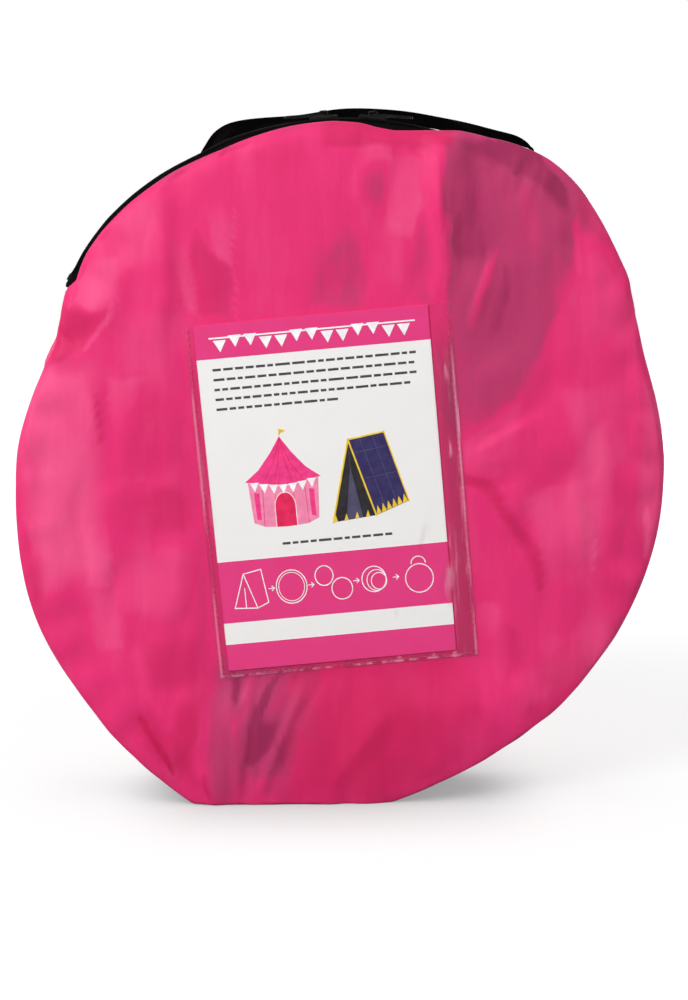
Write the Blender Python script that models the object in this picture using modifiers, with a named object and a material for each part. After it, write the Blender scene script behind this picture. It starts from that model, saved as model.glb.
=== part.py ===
"""A pop-up play tent for children, folded and zipped into its round carry bag.

Metres, +Z up. The bag stands on its rim with its front towards -Y. The origin lies on the flat
resting face, straight below the axis of the round zip, and that axis runs along Y.
"""

import bpy
import bmesh
from math import acos, cos, pi, radians, sin, tan
from mathutils import Matrix, Vector

# Clearances and tolerances
GAP = 0.0003
CUT_OVERRUN = 0.002
WELD_SIZE = 0.00001

# The tent's hoops, and the room that the bag leaves round them once they are folded into turns
HOOP_DIAMETER = 1.05
HOOP_TURNS = 3
BAG_ROOM = 0.025
BOTTOM_SLACK = 0.021

# Bag cloth
BAND_WIDTH = 0.050
FACE_DEPTH = 0.034
CLOTH_THICKNESS = 0.0008
BAND_BULGE = 0.0025
SHOULDER_PUFF = 0.015
RIM_STEPS = 64
BAND_SPANS = 4

# Angles are measured about the zip's axis, anticlockwise from +X as the front shows it
SHOULDER_ANGLE = radians(56)
SHOULDER_SPREAD = radians(28)

# Rim radius as a share of the zip's, from its left end round the bottom to its right end
LOWER_RIM_SHARES = (
    1.0, 0.978, 1.021, 1.058, 1.106, 1.134, 1.172, 1.165, 1.125,
    1.085, 1.040, 1.018, 1.002, 0.989, 0.972, 0.962, 1.0,
)

# Rows of the two faces, from the middle to the seam: share of the rim radius, of the shoulder's
# puff and of the crown's fall
FRONT_ROW_SHARES = (
    (0.40, 0.0, 0.0),
    (0.77, 0.0, 0.0),
    (0.88, 0.25, 0.10),
    (0.955, 0.62, 0.27),
    (0.992, 0.92, 0.50),
    (1.0, 1.0, 0.70),
    (1.0, 0.75, 0.88),
    (1.0, 0.0, 1.0),
)
BACK_ROW_SHARES = (
    (0.34, 0.0, 0.03),
    (0.62, 0.0, 0.12),
    (0.82, 0.0, 0.27),
    (0.93, 0.0, 0.47),
    (0.985, 0.0, 0.68),
    (1.0, 0.0, 0.84),
    (1.0, 0.0, 1.0),
)

# Fold line of the flap
FOLD_HEIGHT_SHARE = 0.5
FOLD_STANDOFF = 0.0003

# Zip
CHAIN_DEPTH = 0.010
CHAIN_CORRIDOR = 0.0015
TAPE_THICKNESS = 0.0008
REAR_TAPE_WIDTH = 0.0047
TOOTH_PITCH = 0.0055
TOOTH_LENGTH = 0.0036
TOOTH_WIDTH = 0.0024
TOOTH_TIP_WIDTH = 0.0012
TOOTH_TAPER_LENGTH = 0.0011
TOOTH_HEIGHT = 0.0026
TOOTH_ROOT_GRIP = 0.0003
TOOTH_STAGGER_SHARE = 0.25
ZIP_END_MARGIN = 0.0095
STOP_LENGTH = 0.0045
STOP_HEIGHT = 0.0034
STOP_EDGE = 0.0005

# Sliders
SLIDER_LENGTH = 0.017
SLIDER_WIDTH = 0.0114
SLIDER_TAIL_WIDTH = 0.0092
SLIDER_PLATE = 0.0011
SLIDER_HEADROOM = 0.0008
SLIDER_FOOTROOM = 0.0005
SLIDER_SIDE_ROOM = 0.00025
SLIDER_TAPE_ROOM = 0.0003
SLIDER_EDGE = 0.0004
SLIDER_EDGE_ANGLE = radians(60)
SLIDER_POST_WIDTH = 0.0008
SLIDER_POST_LENGTH = 0.0045
SLIDER_POST_INSET = 0.0008
SLIDER_SPACING = 0.0295
BAIL_LENGTH = 0.0060
BAIL_WIDTH = 0.0026
BAIL_HEIGHT = 0.0034
BAIL_ROOF = 0.0009
BAIL_LEG = 0.0012

# Half outline of a slider, from tail to nose: share of its half length and of its half width
SLIDER_TAIL_SHARES = ((-1.0, 0.80), (-0.82, 1.0))
SLIDER_NOSE_SHARES = ((0.30, 1.0), (0.72, 1.0), (1.0, 0.58))

# Pull tabs
PULL_THICKNESS = 0.0012
PULL_LENGTH = 0.024
PULL_WIDTH = 0.0074
PULL_NECK_WIDTH = 0.0058
PULL_EYE_LENGTH = 0.0046
PULL_EYE_BAR = 0.0011
PULL_ARM_WIDTH = 0.0011
PULL_ARC_STEPS = 4
PULL_SLOT_LENGTH = 0.0085
PULL_SLOT_WIDTH = 0.0030

# Handle
STRAP_WIDTH = 0.025
STRAP_THICKNESS = 0.0018
STRAP_CENTRE = 0.010
HANDLE_LEFT_ANGLE = radians(117)
HANDLE_RIGHT_ANGLE = radians(58)
HANDLE_SWAY = radians(10)
HANDLE_RELIEF = radians(5)
HANDLE_RISE = 0.0155
HANDLE_ROUTE_STEPS = 3
ANCHOR_LENGTH = 0.030
ANCHOR_STEPS = 6

# Route of the strap between its sewn ends: share of the way along, share of its rise
HANDLE_ROUTE_SHARES = (
    (0.0, 0.0), (0.0, 0.18), (0.03, 0.52), (0.085, 0.80), (0.15, 0.76), (0.30, 0.42), (0.45, 0.44),
    (0.60, 0.53), (0.75, 0.66), (0.88, 0.94), (0.955, 1.0), (1.0, 0.68), (1.004, 0.2), (1.0, 0.0),
)

# Pocket and card
CARD_WIDTH = 0.142
CARD_HEIGHT = 0.214
CARD_THICKNESS = 0.0005
CARD_CORNER = 0.0015
CARD_CORNER_STEPS = 3
CARD_CENTRE_LEFT = 0.0136
POCKET_TOP_MARGIN = 0.0163
CARD_LEAN = radians(5.2)
POCKET_FILM = 0.0006
POCKET_SEAM = 0.0045
POCKET_LEFT_MARGIN = 0.0060
POCKET_RIGHT_MARGIN = 0.0136

# Hoops, folded into turns
HOOP_POINTS_PER_TURN = 24
WIRE_DIAMETER = 0.0032
COIL_RADIAL_SWING = 0.0050
COIL_DEPTH_SWING = 0.0056
COIL_SPACING = 0.0150
COIL_DROP = 0.010
EAVE_COIL_START = radians(80)
FLOOR_COIL_START = radians(140)
WIRE_END_GAP = 0.0010
FERRULE_LENGTH = 0.024
FERRULE_WALL = 0.0008
FERRULE_ROOM = 0.0005
FERRULE_STEPS = 4

# Folded cloth
CLOTH_LOW_INSET = 0.0025
CLOTH_INSET_RISE = 0.0050
PLEAT_DEPTH = 0.0022
PAD_STEPS = 48
ROOF_PLEATS = 12
GROUND_PLEATS = 8
CORE_STEPS = 60
CORE_PLEATS = 20

# Rows of a cloth pad, from the middle of its outer face to its inner edge: share of its radius, of
# the way in to the coil and of a pleat's depth
PAD_ROW_SHARES = (
    (0.30, 0.0, 0.3),
    (0.56, 0.0, 0.7),
    (0.76, 0.0, 1.0),
    (0.88, 0.05, 1.0),
    (0.96, 0.22, 0.7),
    (1.0, 0.58, 0.0),
    (0.985, 1.0, 0.0),
)

# Poles
POLE_DIAMETER = 0.0094
POLE_SECTION_LENGTH = 0.243
POLE_COUNT = 4
POLE_SECTION_NAMES = ("lower", "middle", "upper")
POLE_SPIGOT_DIAMETER = 0.0062
POLE_SPIGOT_LENGTH = 0.016
POLE_BORE_DIAMETER = 0.0068
POLE_BORE_LENGTH = 0.018
POLE_CHAMFER = 0.0006
POLE_STEPS = 8
WINDOW_END_ROOM = 0.004

# Places that follow from the sizes above
COIL_RADIUS = HOOP_DIAMETER / 2 / HOOP_TURNS
ZIP_RADIUS = COIL_RADIUS + BAG_ROOM
AXIS_HEIGHT = ZIP_RADIUS + BOTTOM_SLACK
FOLD_HEIGHT = ZIP_RADIUS * FOLD_HEIGHT_SHARE
CARD_CENTRE_DROP = CARD_HEIGHT / 2 + POCKET_TOP_MARGIN - FOLD_HEIGHT
HALF_BAND = BAND_WIDTH / 2
CROWN = FACE_DEPTH - HALF_BAND
TAPE_INNER_RADIUS = ZIP_RADIUS - TAPE_THICKNESS
CHAIN_CENTRE = -HALF_BAND + CHAIN_DEPTH
TEETH_REACH = CHAIN_CORRIDOR / 2 + TOOTH_LENGTH
REAR_TAPE_EDGE = CHAIN_CENTRE + TEETH_REACH - TOOTH_ROOT_GRIP
TOP_BAND_EDGE = REAR_TAPE_EDGE + REAR_TAPE_WIDTH + GAP
FOLD_ANGLE = acos(FOLD_HEIGHT / ZIP_RADIUS)
ZIP_HALF_ANGLE = FOLD_ANGLE - ZIP_END_MARGIN / ZIP_RADIUS
TOOTH_MID_RADIUS = ZIP_RADIUS - TAPE_THICKNESS / 2
SLIDER_CHANNEL_BASE = TOOTH_MID_RADIUS - TOOTH_HEIGHT / 2 - SLIDER_FOOTROOM
SLIDER_CHANNEL_TOP = TOOTH_MID_RADIUS + TOOTH_HEIGHT / 2 + SLIDER_HEADROOM
SLIDER_TOP = SLIDER_CHANNEL_TOP + SLIDER_PLATE
PULL_PIVOT_RADIUS = SLIDER_TOP + GAP + PULL_THICKNESS / 2
FLAP_HINGE = Vector((0.0, -FACE_DEPTH - FOLD_STANDOFF, AXIS_HEIGHT + FOLD_HEIGHT))
AXIS_POINT = Vector((0.0, 0.0, AXIS_HEIGHT))
ANCHOR_TOP_RADIUS = ZIP_RADIUS + GAP + STRAP_THICKNESS
HANDLE_TIP_RADIUS = ANCHOR_TOP_RADIUS + GAP
COIL_CENTRE = Vector((0.0, 0.0, AXIS_HEIGHT - COIL_DROP))
CORE_HALF_DEPTH = COIL_SPACING / 2 + COIL_DEPTH_SWING + WIRE_DIAMETER / 2
COIL_INNER_RADIUS = (COIL_RADIUS - COIL_RADIAL_SWING) * cos(pi / HOOP_POINTS_PER_TURN) - WIRE_DIAMETER / 2
CORE_RADIUS = COIL_INNER_RADIUS - GAP
POLE_PITCH = POLE_DIAMETER + GAP

# Colour, roughness and metallic value of each material
MATERIALS = {
    "pink_cloth": ((0.80, 0.012, 0.20), 0.55, 0.0),
    "black_cloth": ((0.012, 0.011, 0.012), 0.7, 0.0),
    "black_webbing": ((0.016, 0.015, 0.016), 0.75, 0.0),
    "black_plastic": ((0.02, 0.02, 0.02), 0.4, 0.0),
    "bright_metal": ((0.62, 0.62, 0.63), 0.25, 1.0),
    "clear_film": ((0.95, 0.93, 0.95), 0.12, 0.0),
    "printed_card": ((0.90, 0.90, 0.90), 0.45, 0.0),
    "spring_steel": ((0.40, 0.41, 0.43), 0.35, 1.0),
    "pale_cloth": ((0.93, 0.55, 0.68), 0.7, 0.0),
    "white_cloth": ((0.86, 0.85, 0.86), 0.7, 0.0),
    "white_tube": ((0.83, 0.83, 0.81), 0.4, 0.0),
}


def clear_scene():
    for obj in list(bpy.data.objects):
        bpy.data.objects.remove(obj, do_unlink=True)


def new_collection(name):
    collection = bpy.data.collections.new(name)
    bpy.context.scene.collection.children.link(collection)
    return collection


def make_material(name):
    colour, roughness, metallic = MATERIALS[name]
    material = bpy.data.materials.new(name)
    material.use_nodes = True
    shader = material.node_tree.nodes["Principled BSDF"]
    shader.inputs["Base Color"].default_value = (*colour, 1.0)
    shader.inputs["Roughness"].default_value = roughness
    shader.inputs["Metallic"].default_value = metallic
    return material


clear_scene()
PARTS = new_collection("folded_play_tent")
CUTTERS = new_collection("cutters")
FINISHES = {name: make_material(name) for name in MATERIALS}


def add_object(name, data, material=None):
    """Puts a mesh or curve in the tent's collection, or in the cutters' where it has no material."""
    obj = bpy.data.objects.new(name, data)
    if material is None:
        CUTTERS.objects.link(obj)
        obj.hide_render = True
        obj.display_type = "WIRE"
    else:
        PARTS.objects.link(obj)
        data.materials.append(FINISHES[material])
    return obj


def mesh_from(name, bm):
    mesh = bpy.data.meshes.new(name)
    bm.to_mesh(mesh)
    bm.free()
    return mesh


def shade(obj, angle=40):
    obj.data.shade_smooth()
    obj.data.set_sharp_from_angle(angle=radians(angle))


def put_origin(obj, point):
    """Moves an object's origin to a point, with its shape left where it is."""
    obj.data.transform(Matrix.Translation(-point))
    obj.location = point


def finished_mesh(obj):
    """The mesh that an object's modifiers make, with the object and its cutters removed."""
    graph = bpy.context.evaluated_depsgraph_get()
    mesh = bpy.data.meshes.new_from_object(obj.evaluated_get(graph))
    mesh.materials.clear()
    cutters = [modifier.object for modifier in obj.modifiers if modifier.type == "BOOLEAN"]
    for spent in (obj, *cutters):
        bpy.data.objects.remove(spent, do_unlink=True)
    return mesh


def boolean(obj, cutter, operation="DIFFERENCE"):
    modifier = obj.modifiers.new(operation.lower(), "BOOLEAN")
    modifier.operation = operation
    modifier.object = cutter
    modifier.solver = "EXACT"


def solidify(obj, thickness):
    modifier = obj.modifiers.new("cloth", "SOLIDIFY")
    modifier.thickness = thickness
    modifier.offset = -1.0
    modifier.use_even_offset = True


def grid_surface(rows, centre=None, closed=False):
    """An open surface through rows of points, with its front on the left of each row's run."""
    bm = bmesh.new()
    grid = [[bm.verts.new(point) for point in row] for row in rows]
    count = len(grid[0])
    spans = count if closed else count - 1
    for lower, upper in zip(grid, grid[1:]):
        for i in range(spans):
            j = (i + 1) % count
            bm.faces.new((lower[i], upper[i], upper[j], lower[j]))
    if centre is not None:
        middle = bm.verts.new(centre)
        for i in range(spans):
            bm.faces.new((middle, grid[0][i], grid[0][(i + 1) % count]))
    return bm


def prism(outline, depth):
    """A closed solid: a flat outline carried along a vector."""
    bm = bmesh.new()
    base = bm.faces.new([bm.verts.new(point) for point in outline])
    top = bmesh.ops.extrude_face_region(bm, geom=[base])["geom"]
    moved = [item for item in top if isinstance(item, bmesh.types.BMVert)]
    bmesh.ops.translate(bm, verts=moved, vec=depth)
    bmesh.ops.recalc_face_normals(bm, faces=bm.faces)
    return bm


def box(low, high):
    bm = bmesh.new()
    size = Vector(high) - Vector(low)
    middle = (Vector(high) + Vector(low)) / 2
    bmesh.ops.create_cube(bm, size=1.0, matrix=Matrix.Translation(middle) @ Matrix.Diagonal((*size, 1.0)))
    return bm


def join_meshes(pieces):
    """One bmesh that holds several, each still a separate shell."""
    whole = bmesh.new()
    for piece in pieces:
        mesh = mesh_from("piece", piece)
        whole.from_mesh(mesh)
        bpy.data.meshes.remove(mesh)
    return whole


def hermite(table, place):
    """A smooth value along an evenly spaced table whose two ends run level."""
    last = len(table) - 1
    i = min(int(place), last - 1)
    t = place - i
    slope_in = (table[i + 1] - table[i - 1]) / 2 if i > 0 else 0.0
    slope_out = (table[i + 2] - table[i]) / 2 if i < last - 1 else 0.0
    rise = table[i + 1] - table[i]
    return (
        table[i]
        + t * slope_in
        + t * t * (3 * rise - 2 * slope_in - slope_out)
        + t * t * t * (slope_in + slope_out - 2 * rise)
    )


def rim_radius(angle):
    """Radius of the seams: the zip's true arc at the top, the slack pear shape below it."""
    start = pi / 2 + FOLD_ANGLE
    sweep = 2 * pi - 2 * FOLD_ANGLE
    turned = (angle - start) % (2 * pi)
    if turned >= sweep:
        return ZIP_RADIUS
    place = turned / sweep * (len(LOWER_RIM_SHARES) - 1)
    return ZIP_RADIUS * hermite(LOWER_RIM_SHARES, place)


def puff(angle):
    """How far the front cloth swells past its seam at the right shoulder."""
    away = abs(angle - SHOULDER_ANGLE)
    if away >= SHOULDER_SPREAD:
        return 0.0
    return SHOULDER_PUFF * cos(away / SHOULDER_SPREAD * pi / 2) ** 2


def place(angle, radius, depth, floor=0.0):
    """A point at an angle and radius about the zip's axis, kept above the floor."""
    height = AXIS_HEIGHT + radius * sin(angle)
    return Vector((radius * cos(angle), depth, max(height, floor)))


def even_steps(start, end, steps):
    return [start + (end - start) * i / steps for i in range(steps + 1)]


def face_rows(row_shares, side, inset=0.0):
    """Rows of points of a face of the bag, drawn in by an inset; side is -1 at the front."""
    rows = []
    for radius_share, puff_share, fall_share in row_shares:
        depth = side * (FACE_DEPTH - inset - CROWN * fall_share)
        row = []
        for i in range(RIM_STEPS):
            angle = 2 * pi * i / RIM_STEPS
            swell = puff(angle) if side < 0 else 0.0
            radius = rim_radius(angle) * radius_share + swell * puff_share - inset * radius_share
            row.append(place(angle, radius, depth, inset))
        rows.append(row)
    return rows


def cut_at_fold(bm, keep_above):
    """Keeps the part of a surface above or below the flap's fold line, half a gap away from it."""
    side = 1 if keep_above else -1
    height = AXIS_HEIGHT + FOLD_HEIGHT + side * GAP / 2
    bmesh.ops.bisect_plane(
        bm,
        geom=bm.verts[:] + bm.edges[:] + bm.faces[:],
        dist=WELD_SIZE,
        plane_co=(0.0, 0.0, height),
        plane_no=(0.0, 0.0, side),
        clear_inner=True,
    )
    return bm


def front_surface():
    rows = face_rows(FRONT_ROW_SHARES, -1)
    return grid_surface(rows, centre=(0.0, -FACE_DEPTH, AXIS_HEIGHT), closed=True)


def make_front_panel():
    bm = cut_at_fold(front_surface(), keep_above=False)
    panel = add_object("front_panel", mesh_from("front_panel", bm), "pink_cloth")
    solidify(panel, CLOTH_THICKNESS)
    shade(panel)


def make_front_flap():
    """The part of the front that the zip frees. It folds down about a level line above the pocket."""
    bm = cut_at_fold(front_surface(), keep_above=True)
    flap = add_object("front_flap", mesh_from("front_flap", bm), "pink_cloth")
    put_origin(flap, FLAP_HINGE)
    solidify(flap, CLOTH_THICKNESS)
    shade(flap)


def make_back_panel():
    rows = face_rows(BACK_ROW_SHARES, 1)
    bm = grid_surface(rows, centre=(0.0, FACE_DEPTH, AXIS_HEIGHT), closed=True)
    bmesh.ops.reverse_faces(bm, faces=bm.faces)
    panel = add_object("back_panel", mesh_from("back_panel", bm), "pink_cloth")
    solidify(panel, CLOTH_THICKNESS)
    shade(panel)


def band_surface(angles, front, back, spans, bulge):
    """A side band of the bag, from its front edge to its back edge."""
    rows = []
    for j in range(spans + 1):
        depth = front + (back - front) * j / spans
        swell = bulge * (1 - (2 * j / spans - 1) ** 2)
        rows.append([place(angle, rim_radius(angle) + swell, depth) for angle in angles])
    return grid_surface(rows)


def make_side_bands():
    end_gap = GAP / ZIP_RADIUS
    lower_start = pi / 2 + FOLD_ANGLE + end_gap
    lower_end = 5 * pi / 2 - FOLD_ANGLE - end_gap
    edge = HALF_BAND - GAP
    steps = round(RIM_STEPS * (lower_end - lower_start) / (2 * pi))
    lower_angles = even_steps(lower_start, lower_end, steps)
    bm = band_surface(lower_angles, -edge, edge, BAND_SPANS, BAND_BULGE)
    lower = add_object("side_band_lower", mesh_from("side_band_lower", bm), "pink_cloth")
    top_angles = even_steps(pi / 2 - FOLD_ANGLE, pi / 2 + FOLD_ANGLE, RIM_STEPS // 2)
    bm = band_surface(top_angles, TOP_BAND_EDGE, edge, BAND_SPANS // 2, 0.0)
    top = add_object("side_band_top", mesh_from("side_band_top", bm), "black_cloth")
    for band in (lower, top):
        solidify(band, CLOTH_THICKNESS)
        shade(band)


def tooth(angle, root, direction):
    """One zip tooth at an angle on the arc, from its root on the tape towards the chain's middle."""
    half = TOOTH_WIDTH / 2
    half_tip = TOOTH_TIP_WIDTH / 2
    neck = TOOTH_LENGTH - TOOTH_TAPER_LENGTH
    tip = TOOTH_LENGTH
    plan = ((-half, 0.0), (half, 0.0), (half, neck), (half_tip, tip), (-half_tip, tip), (-half, neck))
    base = TOOTH_MID_RADIUS - TOOTH_HEIGHT / 2
    outline = [(along, root + direction * out, base) for along, out in plan]
    bm = prism(outline, (0.0, 0.0, TOOTH_HEIGHT))
    bmesh.ops.rotate(bm, verts=bm.verts, matrix=Matrix.Rotation(pi / 2 - angle, 3, "Y"))
    return bm


def make_zip_row(name, side, seam_edge, stagger_share):
    """A tape with its row of teeth; side is -1 for the front tape, 1 for the rear one."""
    edge = CHAIN_CENTRE + side * (TEETH_REACH - TOOTH_ROOT_GRIP)
    angles = even_steps(pi / 2 - ZIP_HALF_ANGLE, pi / 2 + ZIP_HALF_ANGLE, RIM_STEPS // 2)
    bm = band_surface(angles, min(edge, seam_edge), max(edge, seam_edge), 1, 0.0)
    tape = add_object(name, mesh_from(name, bm), "black_plastic")
    solidify(tape, TAPE_THICKNESS)

    pitch_angle = TOOTH_PITCH / ZIP_RADIUS
    count = int(2 * ZIP_HALF_ANGLE / pitch_angle) - 1
    first = pi / 2 - (count - 1) * pitch_angle / 2 + stagger_share * pitch_angle
    root = CHAIN_CENTRE + side * TEETH_REACH
    teeth = [tooth(first + i * pitch_angle, root, -side) for i in range(count)]
    cutter = add_object(name + "_teeth", mesh_from(name + "_teeth", join_meshes(teeth)))
    cutter.location = AXIS_POINT
    boolean(tape, cutter, "UNION")
    return tape


def make_zip_stops():
    """A clamp at each end of the chain, on the bag's side of the zip."""
    reach = TEETH_REACH - TOOTH_ROOT_GRIP - GAP
    middle = ZIP_HALF_ANGLE + (GAP + STOP_LENGTH / 2) / ZIP_RADIUS
    half_height = STOP_HEIGHT / 2
    for name, turn in (("zip_stop_left", -middle), ("zip_stop_right", middle)):
        low = (-STOP_LENGTH / 2, CHAIN_CENTRE - reach, TOOTH_MID_RADIUS - half_height)
        high = (STOP_LENGTH / 2, CHAIN_CENTRE + reach, TOOTH_MID_RADIUS + half_height)
        stop = add_object(name, mesh_from(name, box(low, high)), "bright_metal")
        stop.location = AXIS_POINT
        stop.rotation_euler.y = turn
        modifier = stop.modifiers.new("edges", "BEVEL")
        modifier.width = STOP_EDGE
        modifier.segments = 2


def slider_mesh(nose):
    """A slider over the top of the chain; nose is 1 where its blunt end points to +X.

    Its two plates meet only at the post, which runs between the rows of teeth. The front is open
    from plate to plate, so the front tape can leave it when the flap folds down.
    """
    half = SLIDER_LENGTH / 2
    half_tail = SLIDER_TAIL_WIDTH / 2
    half_width = SLIDER_WIDTH / 2
    edge = [(nose * half * u, half_tail * v) for u, v in SLIDER_TAIL_SHARES]
    edge += [(nose * half * u, half_width * v) for u, v in SLIDER_NOSE_SHARES]
    outline = edge + [(u, -v) for u, v in reversed(edge)]
    base = SLIDER_CHANNEL_BASE - SLIDER_PLATE
    bm = prism([(u, CHAIN_CENTRE + v, base) for u, v in outline], (0.0, 0.0, SLIDER_TOP - base))
    slider = add_object("slider_blank", mesh_from("slider_blank", bm), "bright_metal")
    modifier = slider.modifiers.new("edges", "BEVEL")
    modifier.width = SLIDER_EDGE
    modifier.segments = 2
    modifier.limit_method = "ANGLE"
    modifier.angle_limit = SLIDER_EDGE_ANGLE

    long = half + CUT_OVERRUN
    wide = half_width + CUT_OVERRUN
    teeth_room = TEETH_REACH + SLIDER_SIDE_ROOM
    tape_room = SLIDER_TAPE_ROOM
    channel = box(
        (-long, CHAIN_CENTRE - wide, SLIDER_CHANNEL_BASE),
        (long, CHAIN_CENTRE + teeth_room, SLIDER_CHANNEL_TOP),
    )
    slot = box(
        (-long, CHAIN_CENTRE, TAPE_INNER_RADIUS - tape_room),
        (long, CHAIN_CENTRE + wide, ZIP_RADIUS + tape_room),
    )
    boolean(slider, add_object("slider_channel", mesh_from("slider_channel", channel)))
    boolean(slider, add_object("slider_slot", mesh_from("slider_slot", slot)))

    post_front = half - SLIDER_POST_INSET
    post_ends = sorted((nose * post_front, nose * (post_front - SLIDER_POST_LENGTH)))
    half_post = SLIDER_POST_WIDTH / 2
    grip = SLIDER_PLATE / 2
    post = box(
        (post_ends[0], CHAIN_CENTRE - half_post, SLIDER_CHANNEL_BASE - grip),
        (post_ends[1], CHAIN_CENTRE + half_post, SLIDER_CHANNEL_TOP + grip),
    )
    boolean(slider, add_object("slider_post", mesh_from("slider_post", post)), "UNION")

    half_bail = BAIL_LENGTH / 2
    hole = half_bail - BAIL_LEG
    roof = SLIDER_TOP + BAIL_HEIGHT
    arch = (
        (-half_bail, SLIDER_TOP - grip), (-half_bail, roof - BAIL_ROOF), (-hole, roof), (hole, roof),
        (half_bail, roof - BAIL_ROOF), (half_bail, SLIDER_TOP - grip), (hole, SLIDER_TOP - grip),
        (hole, roof - BAIL_ROOF), (-hole, roof - BAIL_ROOF), (-hole, SLIDER_TOP - grip),
    )
    bail = prism([(u, CHAIN_CENTRE - BAIL_WIDTH / 2, w) for u, w in arch], (0.0, BAIL_WIDTH, 0.0))
    boolean(slider, add_object("slider_bail", mesh_from("slider_bail", bail)), "UNION")
    return finished_mesh(slider)


def pull_mesh(nose):
    """A pull tab that lies towards the slider's tail. Its frame is at the bar of its eye."""
    bar = PULL_EYE_BAR / 2
    half_neck = PULL_NECK_WIDTH / 2
    half_width = PULL_WIDTH / 2
    eye_end = bar + PULL_EYE_LENGTH
    arc_centre = PULL_LENGTH - half_width
    edge = [(-bar, half_neck), (eye_end + PULL_EYE_BAR, half_neck), (eye_end + PULL_NECK_WIDTH, half_width)]
    for i in range(PULL_ARC_STEPS + 1):
        turn = pi / 2 - pi / 2 * i / PULL_ARC_STEPS
        edge.append((arc_centre + half_width * cos(turn), half_width * sin(turn)))
    outline = edge + [(u, -v) for u, v in reversed(edge[:-1])]
    half_thick = PULL_THICKNESS / 2
    bm = prism([(-nose * u, v, -half_thick) for u, v in outline], (0.0, 0.0, PULL_THICKNESS))
    pull = add_object("pull_blank", mesh_from("pull_blank", bm), "bright_metal")
    half_eye = half_neck - PULL_ARM_WIDTH
    deep = half_thick + CUT_OVERRUN
    slot_end = arc_centre + PULL_SLOT_WIDTH / 2
    for name, start, end, half in (
        ("pull_eye", bar, eye_end, half_eye),
        ("pull_slot", slot_end - PULL_SLOT_LENGTH, slot_end, PULL_SLOT_WIDTH / 2),
    ):
        u_low, u_high = sorted((-nose * start, -nose * end))
        boolean(pull, add_object(name, mesh_from(name, box((u_low, -half, -deep), (u_high, half, deep)))))
    return finished_mesh(pull)


def make_sliders():
    """Two sliders, nose to nose at the top of the arc, each with its pull tab."""
    turn = SLIDER_SPACING / 2 / ZIP_RADIUS
    for side, nose in (("left", 1), ("right", -1)):
        slider = add_object("zip_slider_" + side, slider_mesh(nose), "bright_metal")
        slider.location = AXIS_POINT
        slider.rotation_euler.y = -nose * turn
        pull = add_object("zip_pull_" + side, pull_mesh(nose), "bright_metal")
        pull.parent = slider
        pull.location = (0.0, CHAIN_CENTRE, PULL_PIVOT_RADIUS)


def smooth_route(points, steps):
    """Points along a smooth curve that passes through the given ones."""
    padded = [2 * points[0] - points[1], *points, 2 * points[-1] - points[-2]]
    route = []
    for a, b, c, d in zip(padded, padded[1:], padded[2:], padded[3:]):
        for i in range(steps):
            t = i / steps
            route.append(
                b + (c - a) * t / 2
                + (2 * a - 5 * b + 4 * c - d) * t * t / 2
                + (3 * b - a - 3 * c + d) * t * t * t / 2
            )
    return route + [points[-1]]


def ribbon_surface(route, width):
    """The outer face of a flat strap that follows a route in the XZ plane."""
    front = STRAP_CENTRE - width / 2
    edges = (front + width, front)
    return grid_surface([[(point.x, depth, point.z) for point in route] for depth in edges])


def make_handle():
    """The free loop of the handle, which sways about a line through its two sewn ends."""
    sweep = HANDLE_RIGHT_ANGLE - HANDLE_LEFT_ANGLE
    points = [
        place(HANDLE_LEFT_ANGLE + sweep * along, HANDLE_TIP_RADIUS + HANDLE_RISE * share, STRAP_CENTRE)
        for along, share in HANDLE_ROUTE_SHARES
    ]
    bm = ribbon_surface(smooth_route(points, HANDLE_ROUTE_STEPS), STRAP_WIDTH)
    handle = add_object("carry_handle", mesh_from("carry_handle", bm), "black_webbing")
    solidify(handle, STRAP_THICKNESS)
    shade(handle)
    half = STRAP_WIDTH / 2 + CUT_OVERRUN
    rise = half * tan(HANDLE_SWAY + HANDLE_RELIEF)
    for name, tip in (("handle_relief_left", points[0]), ("handle_relief_right", points[-1])):
        profile = ((0.0, 0.0), (half, rise), (half, -CUT_OVERRUN), (-half, -CUT_OVERRUN), (-half, rise))
        reach = STRAP_THICKNESS * 2
        outline = [(tip.x - reach, tip.y + across, tip.z + up) for across, up in profile]
        relief = prism(outline, (2 * reach, 0.0, 0.0))
        boolean(handle, add_object(name, mesh_from(name, relief)))
    put_origin(handle, points[0])

    half_angle = ANCHOR_LENGTH / 2 / ANCHOR_TOP_RADIUS
    for side, angle in (("left", HANDLE_LEFT_ANGLE), ("right", HANDLE_RIGHT_ANGLE)):
        route = [
            place(turn, ANCHOR_TOP_RADIUS, STRAP_CENTRE)
            for turn in even_steps(angle + half_angle, angle - half_angle, ANCHOR_STEPS)
        ]
        name = "handle_anchor_" + side
        anchor = add_object(name, mesh_from(name, ribbon_surface(route, STRAP_WIDTH)), "black_webbing")
        solidify(anchor, STRAP_THICKNESS)
        shade(anchor)


def rounded_outline(half_width, half_height, corner, steps):
    """Corner points of an upright rectangle in the XZ plane, with rounded corners."""
    outline = []
    for quarter, (sx, sz) in enumerate(((1, 1), (-1, 1), (-1, -1), (1, -1))):
        for i in range(steps + 1):
            turn = (quarter + i / steps) * pi / 2
            x = sx * (half_width - corner) + corner * cos(turn)
            z = sz * (half_height - corner) + corner * sin(turn)
            outline.append((x, z))
    return outline


def lean(obj, depth):
    """Places a piece of the pocket in the card's own leaning frame."""
    obj.location = (-CARD_CENTRE_LEFT, depth, AXIS_HEIGHT - CARD_CENTRE_DROP)
    obj.rotation_euler.y = -CARD_LEAN


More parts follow.
